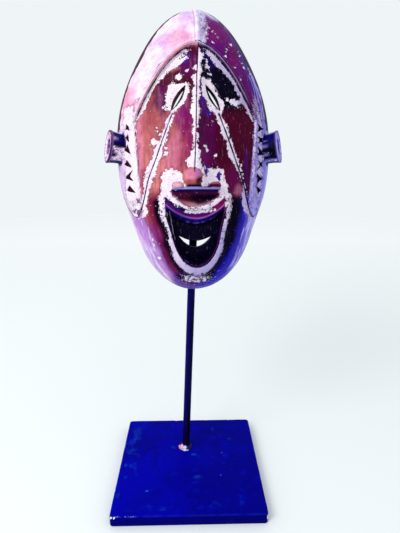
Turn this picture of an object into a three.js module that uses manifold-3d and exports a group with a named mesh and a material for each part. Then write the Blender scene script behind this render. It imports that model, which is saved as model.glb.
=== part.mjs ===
// Carved wooden face mask held up on a steel rod that is welded to a square base plate.
// Millimetres, +Z up, the face looks along -Y, origin at the middle of the plate's underside.
import * as THREE from 'three';
import { mergeVertices } from 'three/addons/utils/BufferGeometryUtils.js';
import Module from 'manifold-3d';

const wasm = await Module();
wasm.setup();

// Stand
const PLATE_SIDE = 180;
const PLATE_THICK = 13;
const PLATE_CORNER = 3.5;
const PLATE_BEVEL = 0.7;
const ROD_DIAMETER = 10;
const ROD_FOOT = { x: -4.6, y: 29 };
const ROD_LEAN_RIGHT = 0.039;
const ROD_LEAN_BACK = 0.066;
const ROD_TOP = 541;
const WELD_LEG = 4.6;
const WELD_HEAVY_SIDE = 1.9;
const TOUCH_GAP = 0.3;

// Where the mask hangs on the rod
const MASK_PLACE = { x: 8, y: 55.8, z: 400 };
const MASK_TURN = THREE.MathUtils.degToRad(1.5);
const MASK_LEAN = THREE.MathUtils.degToRad(6.2);

// Mask outline at its rim, measured from the mask's own zero height
const HALF_WIDTH = 92.5;
const WIDEST = 12;
const CROWN = 173;
const CHIN = -160.5;
const CROWN_FULLNESS = 0.57;
const CHIN_FULLNESS = 0.48;
const WALL = 8.3;
const JAW_PINCH = { by: 0.047, z: -84, spread: 34 };

// Depth of the front over the rim plane
const PEAK_DEPTH = 87;
const PEAK_HEIGHT = -36;
const KEEL_ANGLE = 0.40;
const JAW_ANGLE = 0.10;
const RAISED = 1.7;
const RIM_CUT = 0.985;
const CLEAR = PEAK_DEPTH + 30;

// Face panel under the brow arch, nose and eyes
const ARCH_TOP = 115;
const ARCH_FOOT = 36;
const PANEL_HALF_TOP = 67.5;
const PANEL_HALF_FOOT = 60;
const PANEL_FOOT = -58;
const PANEL_SINK_EDGE = 3.6;
const PANEL_SINK_EYE = 7;
const NOSE_TOP = 110;
const NOSE_FOOT = -36.8;
const NOSE_HALF_TOP = 3;
const NOSE_HALF_FOOT = 13.5;
const NOSE_PROUD = 6.5;
const NOSE_TIP = 14;
const NOSTRIL = { x: 20, z: -33, wide: 7.5, high: 5, deep: 5.5 };
const EYE = { x: 18.5, z: 58, half: 15, open: 2.9, slant: 59, skew: 26 };
const EAR = { x: 101, y: -23, z: 13.5, radius: 19, length: 26, forward: 22, upward: 7, hole: 8.5 };

// Mouth
const MOUTH_SHIFT = 1;
const LEDGE = { top: -36.6, bottom: -38.9, half: 26 };
const SCOOP = { half: 28, high: 20, deep: 12 };
const RECESS_DEEP = 17;
const RECESS_HALF = 31.5;
const RECESS_FOOT = -124;
const BAND_HALF = 38;
const BAND_FOOT = -136;
const LIP_ARC = { middle: -61, side: -46 };
const STEP_ARC = { middle: -74, side: -58 };
const SLOT = { half: 18.5, tip: -88, top: -93.5, bottom: -100.5 };
const COVE = { away: 5.5, radius: 7, lift: 3, chinLift: 4.5 };

// Carved lines and notches
const GROOVE = 1.5;
const KEEL_RADIUS = 2.1;
const NOTCH = { radius: 5.2, deep: 3.2, x: 75.5 };
const NOTCH_HEIGHTS = [33, 21, 7, -8, -22, -37];

// Hollow behind the face, with thicker wood behind the mouth
const HOLLOW = { behind: 15.5, least: 3, mouthMore: 9, mouthHalf: 34, mouthHigh: 42, mouthHeight: -96 };

const clamp01 = (x) => Math.min(1, Math.max(0, x));
const mix = (a, b, s) => a + (b - a) * s;
const smooth = (x) => clamp01(x) ** 2 * (3 - 2 * clamp01(x));

// Solids from closed meshes, and back again
function toSolid(geometry) {
  const bare = geometry.clone();
  bare.deleteAttribute('normal');
  bare.deleteAttribute('uv');
  const merged = mergeVertices(bare, 1e-4);
  return new wasm.Manifold(new wasm.Mesh({
    numProp: 3,
    vertProperties: new Float32Array(merged.attributes.position.array),
    triVerts: new Uint32Array(merged.index.array),
  }));
}

function toGeometry(solid) {
  const mesh = solid.getMesh();
  const geometry = new THREE.BufferGeometry();
  geometry.setAttribute('position', new THREE.BufferAttribute(mesh.vertProperties.slice(), 3));
  geometry.setIndex(new THREE.BufferAttribute(mesh.triVerts.slice(), 1));
  geometry.computeVertexNormals();
  return geometry;
}

function indexed(points, faces) {
  const geometry = new THREE.BufferGeometry();
  geometry.setAttribute('position', new THREE.Float32BufferAttribute(points.flat(), 3));
  geometry.setIndex(faces.flat());
  return geometry;
}

// Rim outline and front surface of the mask as functions of x and height
function rimHalf(z) {
  const above = z > WIDEST;
  const reach = above ? (z - WIDEST) / (CROWN - WIDEST) : (WIDEST - z) / (WIDEST - CHIN);
  const pinch = JAW_PINCH.by * Math.exp(-(((z - JAW_PINCH.z) / JAW_PINCH.spread) ** 2));
  const fullness = above ? CROWN_FULLNESS : CHIN_FULLNESS;
  return HALF_WIDTH * (1 - pinch) * Math.max(0, 1 - reach * reach) ** fullness;
}

function keelDepth(z) {
  const up = z > PEAK_HEIGHT;
  const reach = up ? (z - PEAK_HEIGHT) / (CROWN - PEAK_HEIGHT) : (PEAK_HEIGHT - z) / (PEAK_HEIGHT - CHIN);
  const bulge = Math.max(0, 1 - reach ** (up ? 2.2 : 1.6));
  return PEAK_DEPTH * bulge ** (up ? 0.65 : 0.5);
}

function sectionShape(t) {
  const arc = (s) => Math.sqrt(1 - s ** 2.5);
  const edge = arc(RIM_CUT);
  return (arc(Math.min(1, t) * RIM_CUT) - edge) / (1 - edge);
}

function bandHalf(z, half, foot) {
  const reach = clamp01((STEP_ARC.side - z) / (STEP_ARC.side - foot));
  return half * (1 - reach ** 2.4) ** 0.62 * (1 - 0.06 * reach);
}

// Two planes meet in a keel down the forehead and nose, and the jaw below is rounder
function frontDepth(x, z) {
  const t = Math.min(1, Math.abs(x) / Math.max(rimHalf(z), 1e-6));
  const keel = mix(JAW_ANGLE, KEEL_ANGLE, smooth((z + 75) / 50));
  return keelDepth(z) * sectionShape(t) * (1 - keel * t * (1 - 0.35 * t));
}

// Closed solid between the rim plane and a front surface
function shellSolid(rows, columns, grow, depthAt) {
  const points = [];
  const faces = [];
  const heights = [];
  for (let i = 0; i <= rows; i += 1) {
    const a = Math.PI * (i / rows - 0.5);
    heights.push(WIDEST + Math.sin(a) * (a > 0 ? CROWN - WIDEST : WIDEST - CHIN) * (1 - 1e-4));
  }
  for (const z of heights) {
    for (let j = 0; j <= columns; j += 1) {
      const t = Math.sin(Math.PI * (j / columns - 0.5));
      const x = t * rimHalf(z);
      const rim = j === 0 || j === columns;
      points.push([x + Math.sign(t) * grow * Math.abs(t), rim ? 0 : -depthAt(x, z), z]);
    }
  }
  const at = (i, j) => i * (columns + 1) + j;
  for (let i = 0; i < rows; i += 1) {
    for (let j = 0; j < columns; j += 1) {
      faces.push([at(i, j), at(i, j + 1), at(i + 1, j + 1)], [at(i, j), at(i + 1, j + 1), at(i + 1, j)]);
    }
    faces.push([at(i, 0), at(i + 1, columns), at(i, columns)], [at(i, 0), at(i + 1, 0), at(i + 1, columns)]);
  }
  for (let j = 1; j < columns; j += 1) {
    faces.push([at(0, 0), at(0, j + 1), at(0, j)], [at(rows, 0), at(rows, j), at(rows, j + 1)]);
  }
  return toSolid(indexed(points, faces));
}

// Straight cut through the front: an outline in x and height, run along depth
function prism(outline, near, far) {
  const shape = new THREE.Shape(outline.map(([x, z]) => new THREE.Vector2(x, z)));
  const geometry = new THREE.ExtrudeGeometry(shape, { depth: far - near, bevelEnabled: false });
  geometry.rotateX(Math.PI / 2);
  geometry.translate(0, -near, 0);
  return toSolid(geometry);
}

const steps = (from, to, count) => Array.from({ length: count + 1 }, (_, i) => mix(from, to, i / count));

// Outlines of the carving
function archPoint(z) {
  return [PANEL_HALF_TOP * ((ARCH_TOP - z) / (ARCH_TOP - ARCH_FOOT)) ** 0.55, z];
}

function archLine() {
  return steps(0, 1, 9).map((s) => archPoint(mix(ARCH_TOP, ARCH_FOOT, s * s)));
}

const PANEL_SIDE = [[PANEL_HALF_FOOT, PANEL_FOOT]];
const LOBE_END = [[63, -66], [68, -69], [74, -65], [82, -54], [88, -44]];

// The hood comes down both sides of the face in two round-ended lobes
function hoodOutline() {
  const right = [...archLine(), ...PANEL_SIDE, ...LOBE_END, [115, -30], [115, 190]];
  return [...right, ...right.slice(1).map(([x, z]) => [-x, z]).reverse()];
}

function uOutline(half, foot, topMiddle, topSide) {
  const side = steps(0, 1, 10).map((s) => {
    const z = mix(topSide, foot, 1 - (1 - s) ** 1.6);
    return [bandHalf(z, half, foot), z];
  });
  const top = steps(-1, 1, 10).slice(1, -1).map((s) => {
    return [s * half, mix(topMiddle, topSide, s * s)];
  });
  const right = side.slice(0, -1);
  const left = right.map(([x, z]) => [-x, z]).reverse();
  return [...right, [0, foot], ...left, ...top].map(([x, z]) => [x + MOUTH_SHIFT, z]);
}

// Rods along the surface, for lines that are cut in or stand up
function surfaceRod(line, radius, lift, count) {
  const points = line.map(([x, z, extra = 0]) => new THREE.Vector3(x, -faceDepth(x, z) - lift - extra, z));
  const path = new THREE.CatmullRomCurve3(points);
  const ring = steps(0, 5, 5).map((i) => {
    const a = ((i + 0.5) * Math.PI) / 3;
    return new THREE.Vector2(Math.cos(a) * radius, Math.sin(a) * radius);
  });
  const geometry = new THREE.ExtrudeGeometry(new THREE.Shape(ring), {
    steps: count, extrudePath: path, bevelEnabled: false,
  });
  return toSolid(geometry);
}

// Face panel: everything in front of this sunken surface is cut away
function noseHalf(z) {
  return mix(NOSE_HALF_TOP, NOSE_HALF_FOOT, smooth((NOSE_TOP - z) / (NOSE_TOP - NOSE_FOOT)));
}

function panelHalf(z) {
  if (z >= ARCH_FOOT) return archPoint(z)[0];
  return mix(PANEL_HALF_TOP, PANEL_HALF_FOOT, (ARCH_FOOT - z) / (ARCH_FOOT - PANEL_FOOT));
}

function panelDepth(x, z) {
  const besideNose = smooth((Math.abs(x) - noseHalf(z) * 0.5) / 12);
  const eyeHollow = Math.exp(-(((Math.abs(x) - EYE.x) / 17) ** 2) - (((z - EYE.z) / 34) ** 2));
  const foot = smooth((z - PANEL_FOOT) / 60);
  const sink = mix(PANEL_SINK_EDGE, PANEL_SINK_EYE, eyeHollow) * mix(0.3, 1, besideNose);
  return frontDepth(x, z) - mix(0.5, sink, foot);
}

function faceDepth(x, z) {
  const inPanel = z > PANEL_FOOT && z < ARCH_TOP && Math.abs(x) < panelHalf(z);
  return inPanel ? panelDepth(x, z) : frontDepth(x, z);
}

function panelCut() {
  const front = -CLEAR;
  const heights = [
    ...steps(0, 1, 8).map((s) => mix(ARCH_TOP - TOUCH_GAP, ARCH_FOOT, s * s)),
    ...steps(ARCH_FOOT, PANEL_FOOT, 7).slice(1),
  ];
  const halfAt = (z) => panelHalf(z) + TOUCH_GAP;
  const columns = 18;
  const points = [];
  const faces = [];
  heights.forEach((z) => {
    for (let j = 0; j <= columns; j += 1) {
      const x = mix(-1, 1, j / columns) * halfAt(z);
      points.push([x, -panelDepth(x, z), z], [x, front, z]);
    }
  });
  const at = (i, j, side) => (i * (columns + 1) + j) * 2 + side;
  const quad = (a, b, c, d) => faces.push([a, b, c], [a, c, d]);
  const last = heights.length - 1;
  for (let i = 0; i < last; i += 1) {
    for (let j = 0; j < columns; j += 1) {
      quad(at(i, j, 0), at(i, j + 1, 0), at(i + 1, j + 1, 0), at(i + 1, j, 0));
      quad(at(i, j, 1), at(i + 1, j, 1), at(i + 1, j + 1, 1), at(i, j + 1, 1));
    }
    quad(at(i, 0, 0), at(i + 1, 0, 0), at(i + 1, 0, 1), at(i, 0, 1));
    quad(at(i, columns, 0), at(i, columns, 1), at(i + 1, columns, 1), at(i + 1, columns, 0));
  }
  for (let j = 0; j < columns; j += 1) {
    quad(at(0, j, 0), at(0, j, 1), at(0, j + 1, 1), at(0, j + 1, 0));
    quad(at(last, j, 0), at(last, j + 1, 0), at(last, j + 1, 1), at(last, j, 1));
  }
  return toSolid(indexed(points, faces));
}

// Nose: a long wedge that starts under the arch and widens down to a blunt round tip
function noseSolid() {
  const tipTop = NOSE_FOOT + NOSE_TIP;
  const heights = [...steps(NOSE_TOP, tipTop, 7), ...steps(0, 1, 5).slice(1).map((s) => {
    return tipTop - NOSE_TIP * Math.sin(s * Math.PI * 0.5);
  })];
  const rings = heights.map((z) => {
    const down = (NOSE_TOP - z) / (NOSE_TOP - tipTop);
    const round = Math.sqrt(1 - (0.97 * clamp01((tipTop - z) / NOSE_TIP)) ** 2);
    const half = noseHalf(z) * mix(0.72, 1, round);
    const flank = panelDepth(half, z);
    const crest = frontDepth(0, z) + mix(-1.5, NOSE_PROUD, smooth((down - 0.25) / 0.75));
    const height = (crest - flank) * mix(0.35, 1, round);
    const power = mix(1, 2.4, smooth((down - 0.6) / 0.4));
    const across = steps(-1, 1, 8).map((q) => [q * half, -(flank + height * (1 - Math.abs(q) ** power)), z]);
    return [[-half, -(flank - 8), z], ...across, [half, -(flank - 8), z]];
  });
  return ringLoft(rings);
}

function ringLoft(rings) {
  const n = rings[0].length;
  const faces = [];
  for (let i = 0; i < rings.length - 1; i += 1) {
    for (let j = 0; j < n; j += 1) {
      const a = i * n + j;
      const b = i * n + ((j + 1) % n);
      faces.push([a, b + n, b], [a, a + n, b + n]);
    }
  }
  const end = (rings.length - 1) * n;
  for (let j = 1; j < n - 1; j += 1) {
    faces.push([0, j, j + 1], [end, end + j + 1, end + j]);
  }
  return toSolid(indexed(rings.flat(), faces));
}

function nostrilSolid(side) {
  const ball = new THREE.SphereGeometry(1, 10, 8);
  ball.scale(NOSTRIL.wide, NOSTRIL.deep, NOSTRIL.high);
  ball.translate(side * NOSTRIL.x, -panelDepth(NOSTRIL.x, NOSTRIL.z) + 1, NOSTRIL.z);
  return toSolid(ball);
}

// Almond slit cut square to the slanting side of the nose
function eyeCut(side) {
  const upper = steps(-1, 1, 8).map((s) => [s * EYE.half, EYE.open * (1 - s * s)]);
  const lower = upper.slice(1, -1).map(([x, z]) => [x, -z]).reverse();
  const cut = new THREE.Shape([...upper, ...lower].map(([x, z]) => new THREE.Vector2(x, z)));
  const geometry = new THREE.ExtrudeGeometry(cut, { depth: 60, bevelEnabled: false });
  geometry.translate(0, 0, -30);
  geometry.rotateX(Math.PI / 2);
  geometry.rotateY(side * THREE.MathUtils.degToRad(EYE.slant));
  geometry.rotateZ(side * THREE.MathUtils.degToRad(EYE.skew));
  geometry.translate(side * EYE.x, -panelDepth(EYE.x, EYE.z), EYE.z);
  return toSolid(geometry);
}

// Spool ear with a dished end and a round hollow in its middle
function earSolid(side) {
  const r = EAR.radius;
  const profile = [
    [0, -EAR.length], [r - 1.2, -EAR.length], [r - 1.4, -6], [r - 0.4, -1.6], [r, -0.6], [r - 0.5, 0],
    [r - 3, 0], [r - 4.2, -1.1], [EAR.hole + 1, -1.1], [EAR.hole, -2], [EAR.hole - 1.2, -8], [0, -8.8],
  ].map(([x, y]) => new THREE.Vector2(x, y));
  const geometry = new THREE.LatheGeometry(profile, 24);
  geometry.rotateZ(-side * (Math.PI / 2 - THREE.MathUtils.degToRad(EAR.upward)));
  const turn = new THREE.Matrix4().makeRotationX(Math.PI / 2);
  geometry.applyMatrix4(turn);
  geometry.rotateZ(-side * THREE.MathUtils.degToRad(EAR.forward));
  geometry.translate(side * EAR.x, EAR.y, EAR.z);
  return toSolid(geometry);
}

// Scoop under the ledge: the lower half of a flattened ball
function scoopCut() {
  const ball = new THREE.SphereGeometry(1, 18, 12);
  ball.scale(SCOOP.half, SCOOP.deep, SCOOP.high);
  ball.translate(MOUTH_SHIFT - 1, -(frontDepth(0, LEDGE.bottom - 8) + 1), LEDGE.bottom);
  const size = SCOOP.half * 4;
  const below = new THREE.BoxGeometry(size, size, size);
  below.translate(0, -frontDepth(0, LEDGE.bottom), LEDGE.bottom - size / 2);
  return toSolid(ball).intersect(toSolid(below));
}

// Floors of the sunken mouth follow the front at a set distance
function sunkenCut(outline, sink) {
  const floor = shellSolid(18, 10, 0, (x, z) => Math.max(4, frontDepth(x * 0.5, z) - sink(z)));
  return prism(outline, 8, CLEAR).subtract(floor);
}

// Cove along the outside of the band, where the cheeks fall away beside the mouth
function coveCut() {
  const side = steps(0, 1, 6).map((s) => {
    const z = mix(-46, BAND_FOOT + 6, s);
    const x = bandHalf(z, BAND_HALF, BAND_FOOT) + COVE.away;
    return [x, z - s * COVE.away, s * (COVE.chinLift - COVE.lift)];
  });
  const middle = [0, BAND_FOOT - COVE.away, COVE.chinLift - COVE.lift];
  const left = side.map(([x, z, e]) => [-x, z, e]);
  const out = [BAND_HALF + COVE.away, -34, COVE.radius];
  const right = [...side.reverse(), out];
  const whole = [[-out[0], out[1], out[2]], ...left, middle, ...right];
  return surfaceRod(whole.map(([x, z, e]) => [x + MOUTH_SHIFT, z, e]), COVE.radius, COVE.lift, 24);
}

function slotCut() {
  const low = steps(-1, 1, 10).map((s) => [s * SLOT.half, mix(SLOT.bottom, SLOT.tip, s * s)]);
  const high = steps(-1, 1, 10).slice(1, -1).map((s) => [s * SLOT.half, mix(SLOT.top, SLOT.tip, s * s)]);
  return prism([...low, ...high.reverse()], 5, CLEAR);
}

function notchCut(side, z) {
  const x = side * NOTCH.x;
  const cone = new THREE.ConeGeometry(NOTCH.radius * 2, NOTCH.deep * 2, 3);
  cone.rotateY(side * Math.PI / 2);
  const normal = new THREE.Vector3(
    frontDepth(x - 1, z) - frontDepth(x + 1, z), -2, frontDepth(x, z - 1) - frontDepth(x, z + 1),
  ).normalize();
  cone.applyQuaternion(new THREE.Quaternion().setFromUnitVectors(new THREE.Vector3(0, -1, 0), normal));
  cone.translate(x, -frontDepth(x, z) - RAISED, z);
  return toSolid(cone);
}

// The front surface again, smaller by the wall and open at the rim plane
function hollowCut() {
  const narrow = (HALF_WIDTH - WALL) / HALF_WIDTH;
  const short = (CROWN - CHIN - 2 * WALL) / (CROWN - CHIN);
  const h = HOLLOW;
  return shellSolid(18, 14, 0, (x, z) => {
    const across = ((x - MOUTH_SHIFT) / h.mouthHalf) ** 4;
    const behindMouth = h.mouthMore * Math.exp(-across - (((z - h.mouthHeight) / h.mouthHigh) ** 4));
    return Math.max(h.least, frontDepth(x, z) - h.behind - behindMouth);
  }).scale([narrow, 1, short]).translate([0, 0.01, 0]);
}

function tearLine(side) {
  return [
    [25, 42], [35, 17], [44.5, -7.5], [52, -24], [55.5, -40], [60, -58],
    [68, -69], [75, -64.5], [82, -54.5], [85, -46],
  ].map(([x, z]) => [side * x, z]);
}

function maskSolid() {
  const low = shellSolid(32, 24, 0, frontDepth);
  const high = shellSolid(32, 24, 0.6, (x, z) => frontDepth(x, z) + RAISED);
  const band = prism(uOutline(BAND_HALF, BAND_FOOT, -48, -44), 8, CLEAR);
  const ledgeSlab = prism([
    [-LEDGE.half, LEDGE.bottom], [LEDGE.half, LEDGE.bottom],
    [LEDGE.half, LEDGE.top], [-LEDGE.half, LEDGE.top],
  ], 8, CLEAR);
  const hood = prism(hoodOutline(), -1, CLEAR);
  let body = low.subtract(panelCut()).subtract(coveCut());
  body = body.add(high.intersect(hood.add(band).add(ledgeSlab)));
  body = body.add(noseSolid());
  const keel = steps(CROWN - 7, ARCH_TOP - 3, 8).map((z) => [0, z]);
  body = body.add(surfaceRod(keel, KEEL_RADIUS, 0.8, 12).intersect(prism([
    [-9, CROWN + 5], [-9, 90], [9, 90], [9, CROWN + 5],
  ], 0.5, CLEAR)));
  const recess = uOutline(RECESS_HALF, RECESS_FOOT, STEP_ARC.middle, STEP_ARC.side);
  const lip = uOutline(RECESS_HALF, RECESS_FOOT, LIP_ARC.middle, LIP_ARC.side);
  body = body.subtract(scoopCut());
  body = body.subtract(sunkenCut(lip, (z) => mix(0.5, 7, smooth((LIP_ARC.side - z) / 26))));
  body = body.subtract(sunkenCut(recess, () => RECESS_DEEP));
  for (const side of [-1, 1]) {
    for (const z of NOTCH_HEIGHTS) {
      body = body.subtract(notchCut(side, z));
    }
    body = body.subtract(surfaceRod(tearLine(side), GROOVE, 0, 20));
    body = body.add(nostrilSolid(side)).add(earSolid(side));
  }
  body = body.subtract(hollowCut()).subtract(slotCut());
  return body.subtract(eyeCut(-1)).subtract(eyeCut(1));
}

function finish(name, geometry, colour, roughness, metalness) {
  const material = new THREE.MeshStandardMaterial({ color: colour, roughness, metalness });
  const mesh = new THREE.Mesh(geometry, material);
  mesh.name = name;
  return mesh;
}

// Base plate: a square slab with small rounded corners and broken edges
function basePlate() {
  const h = PLATE_SIDE / 2 - PLATE_BEVEL;
  const r = PLATE_CORNER;
  const shape = new THREE.Shape();
  shape.absarc(h - r, h - r, r, 0, Math.PI / 2);
  shape.absarc(-h + r, h - r, r, Math.PI / 2, Math.PI);
  shape.absarc(-h + r, -h + r, r, Math.PI, 1.5 * Math.PI);
  shape.absarc(h - r, -h + r, r, 1.5 * Math.PI, 2 * Math.PI);
  const geometry = new THREE.ExtrudeGeometry(shape, {
    depth: PLATE_THICK - 2 * PLATE_BEVEL, bevelThickness: PLATE_BEVEL, bevelSize: PLATE_BEVEL,
    bevelSegments: 1, curveSegments: 4,
  });
  geometry.translate(0, 0, PLATE_BEVEL);
  return finish('base_plate', geometry, 0x1c1c5a, 0.55, 0.5);
}

// Support rod: leans back and a little to the right, and ends inside the crown of the mask
function supportRod() {
  const foot = PLATE_THICK + TOUCH_GAP;
  const geometry = new THREE.CylinderGeometry(ROD_DIAMETER / 2, ROD_DIAMETER / 2, ROD_TOP - foot, 24);
  geometry.rotateX(Math.PI / 2);
  geometry.translate(0, 0, (ROD_TOP - foot) / 2);
  geometry.applyMatrix4(new THREE.Matrix4().makeShear(0, 0, 0, 0, ROD_LEAN_RIGHT, ROD_LEAN_BACK));
  geometry.translate(ROD_FOOT.x, ROD_FOOT.y, foot);
  return finish('support_rod', geometry, 0x14102c, 0.5, 0.6);
}

// Weld bead: an uneven fillet round the foot of the rod, heavier to the left and the front
function weldBead() {
  const turns = 28;
  const inner = ROD_DIAMETER / 2 + TOUCH_GAP;
  const rings = Array.from({ length: turns }, (_, i) => {
    const a = (i * 2 * Math.PI) / turns;
    const heavy = 0.5 - 0.5 * Math.cos(a - THREE.MathUtils.degToRad(50));
    const ripple = 0.35 * Math.sin(i * 2.4) + 0.25 * Math.sin(i * 5.1);
    const leg = WELD_LEG * mix(0.7, WELD_HEAVY_SIDE * 0.7, heavy) + ripple;
    const at = (radius, height) => [
      ROD_FOOT.x + Math.cos(a) * radius + height * ROD_LEAN_RIGHT,
      ROD_FOOT.y + Math.sin(a) * radius + height * ROD_LEAN_BACK,
      PLATE_THICK + TOUCH_GAP + height,
    ];
    return [at(inner, 0), at(inner + leg, 0), at(inner + leg * 0.62, leg * 0.42), at(inner, leg * 0.85)];
  });
  const faces = [];
  for (let i = 0; i < turns; i += 1) {
    const next = (i + 1) % turns;
    for (let j = 0; j < 4; j += 1) {
      const k = (j + 1) % 4;
      faces.push([i * 4 + j, next * 4 + j, next * 4 + k], [i * 4 + j, next * 4 + k, i * 4 + k]);
    }
  }
  return finish('weld_bead', indexed(rings.flat(), faces), 0x8a7aa8, 0.6, 0.5);
}

const mask = finish('mask', toGeometry(maskSolid()), 0x7a2340, 0.6, 0);
const lean = new THREE.Group();
lean.rotation.x = -MASK_LEAN;
lean.add(mask);
const hung = new THREE.Group();
hung.rotation.z = MASK_TURN;
hung.position.set(MASK_PLACE.x, MASK_PLACE.y, MASK_PLACE.z);
hung.add(lean);

const group = new THREE.Group();
group.add(basePlate(), supportRod(), weldBead(), hung);
export default group;
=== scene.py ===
# Carved wooden face mask on a welded rod stand, with its worn paint and chalk.
# The carving is worked out in millimetres in the mask's own frame: x to the viewer's right,
# z up from the mask's zero height, and depth forwards from the flat back of its rim.
import math

import bmesh
import bpy
import numpy as np
from mathutils import Matrix, Vector


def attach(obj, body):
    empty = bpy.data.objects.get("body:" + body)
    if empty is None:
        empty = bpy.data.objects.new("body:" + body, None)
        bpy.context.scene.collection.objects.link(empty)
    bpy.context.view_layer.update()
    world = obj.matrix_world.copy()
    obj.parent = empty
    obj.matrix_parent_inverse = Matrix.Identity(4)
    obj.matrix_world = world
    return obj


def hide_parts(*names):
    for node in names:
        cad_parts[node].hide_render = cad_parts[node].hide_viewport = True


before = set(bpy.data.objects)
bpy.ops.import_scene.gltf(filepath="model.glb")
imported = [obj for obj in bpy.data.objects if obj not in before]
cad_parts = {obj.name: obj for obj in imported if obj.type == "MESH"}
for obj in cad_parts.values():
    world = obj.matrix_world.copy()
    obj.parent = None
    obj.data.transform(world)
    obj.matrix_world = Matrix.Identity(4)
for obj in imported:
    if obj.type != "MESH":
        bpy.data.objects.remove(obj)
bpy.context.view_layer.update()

MM = 0.001

# Camera and light
CAMERA_PLACE = (0.0025, -0.4836, 0.4023)
CAMERA_TILT = math.radians(90 - 14.3)
CAMERA_ROLL = math.radians(-1.4)
FRAME_TALL = 533
FOCAL_PIXELS = 424.7
SENSOR = 36.0
FLOOR_RADIUS = 2.75
FLOOR_NEAR = (0.80, 0.83, 0.84, 1)
FLOOR_FAR = (0.985, 0.985, 0.985, 1)
SKY = (0.86, 0.91, 0.93, 1)
LIGHT_PLACE = (-0.9, -0.9, 1.2)
LIGHT_AIM = (0, 0, 0.35)
LIGHT_SIZE = 0.9
LIGHT_POWER = 14
LIGHT_COLOUR = (1, 0.98, 0.96)

# Where the mask hangs, and its carved form, as in the frame
MASK_PLACE = (8.0, 55.8, 400.0)
MASK_TURN = math.radians(1.5)
MASK_LEAN = math.radians(6.2)
HALF_WIDTH = 92.5
WIDEST = 12.0
CROWN = 171.2
CHIN = -160.5
CROWN_FULLNESS = 0.57
CHIN_FULLNESS = 0.48
JAW_PINCH = {"by": 0.047, "z": -84.0, "spread": 34.0}
CROWN_PINCH = {"by": 0.05, "z": 125.0, "spread": 45.0}
WALL = 8.3
PEAK_DEPTH = 87.0
PEAK_HEIGHT = -36.0
KEEL_ANGLE = 0.40
JAW_ANGLE = 0.10
RAISED = 1.7
RIM_GROW = 0.6
RIM_CUT = 0.985
ARCH_TOP = 115.0
ARCH_FOOT = 36.0
ARCH_BEAD = {"out": 3.3, "half": 2.7, "high": 1.5}
KEEL_BAND_HALF = 2.5
TEAR_CUT = 1.2
PANEL_HALF_TOP = 67.5
PANEL_HALF_FOOT = 60.0
PANEL_FOOT = -58.0
PANEL_SINK_EDGE = 3.6
PANEL_SINK_EYE = 7.0
NOSE_TOP = 110.0
NOSE_FOOT = -36.8
NOSE_HALF_TOP = 3.0
NOSE_HALF_FOOT = 13.5
NOSE_PROUD = 6.5
NOSE_TIP = 14.0
NOSTRIL = {"x": 20.0, "z": -34.3, "wide": 6.4, "high": 4.6, "deep": 5.0}
EYE = {"x": 18.5, "z": 58.0, "half": 15.0, "open": 3.7, "slit": 1.3, "slant": 59.0, "skew": 4.0}
EAR = {"x": 101.0, "depth": 23.0, "z": 13.5, "radius": 19.0, "length": 26.0}
EAR_FORWARD = math.radians(20)
EAR_UPWARD = math.radians(7)
MOUTH_SHIFT = {"top": -0.8, "foot": 1.2}
MOUTH_LEFT_WIDER = 1.05
LEDGE = {"top": -36.9, "bottom": -38.8, "half": 26.0}
SCOOP = {"half": 28.0, "high": 20.0, "deep": 12.0}
RECESS_DEEP = 17.0
INNER_WALL = 5.0
RECESS_HALF = 31.5
RECESS_FOOT = -125.6
BAND_HALF = 38.0
BAND_FOOT = -136.0
COVE = {"out": 4.8, "half": 6.0, "deep": 4.6}
BAND_ARC = (-48.0, -44.0)
MOUTH_ARC = (-40.0, -40.0)
LIP_ARC = (-61.0, -46.0)
LIP_LINE_ARC = (-69.5, -54.0)
STEP_ARC = (-74.0, -58.0)
SLOT = {"half": 20.0, "x": -0.8, "tip": -88.0, "top": -95.2, "bottom": -102.6}
NOTCH_X = 75.5
NOTCH_DEEP = 4.4
HOLLOW = {"behind": 15.5, "least": 3.0, "more": 9.0, "half": 34.0, "high": 42.0, "z": -96.0}

# Grid of the mask's surface
ROWS = 380
COLUMNS = 222
INSIDE_STEP = 4
INSIDE_COLUMNS = 44
RIM_EDGE = 0.9
# Loops that round the rim's edge off: how far inwards, and how far over its flat back
RIM_LOOPS = ((0.35, 0.25), (1.2, 0.0))
SHARP_ANGLE = math.radians(50)
# Values of the fields where there is no chalk and no cut line
NO_CHALK = -30.0
NO_LINE = -9.0


def clamp01(x):
    return np.clip(x, 0.0, 1.0)


def mix(a, b, s):
    return a + (b - a) * s


def smooth(x):
    s = clamp01(x)
    return s * s * (3 - 2 * s)


def rise(value, width):
    """Smooth step from 0 to 1 while a value grows from 0 to the width."""
    return smooth(value / width)


def bell(distance, width):
    return np.exp(-((distance / width) ** 2))


def lattice_noise(x, z, cell, seed):
    """Smooth value noise from -1 to 1 over the mask's x and z, with features about cell mm wide."""
    table = np.random.default_rng(seed).uniform(-1, 1, (64, 64))
    gx = np.asarray(x) / cell + 200.0
    gz = np.asarray(z) / cell + 200.0
    ix = np.floor(gx).astype(int)
    iz = np.floor(gz).astype(int)
    sx = smooth(gx - ix)
    sz = smooth(gz - iz)
    low = mix(table[ix % 64, iz % 64], table[(ix + 1) % 64, iz % 64], sx)
    high = mix(table[ix % 64, (iz + 1) % 64], table[(ix + 1) % 64, (iz + 1) % 64], sx)
    return mix(low, high, sz)


def two_noises(x, z, cells, seed, share=0.5):
    """Coarse noise with a share of finer noise on it."""
    return lattice_noise(x, z, cells[0], seed) + share * lattice_noise(x, z, cells[1], seed + 1)


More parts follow.
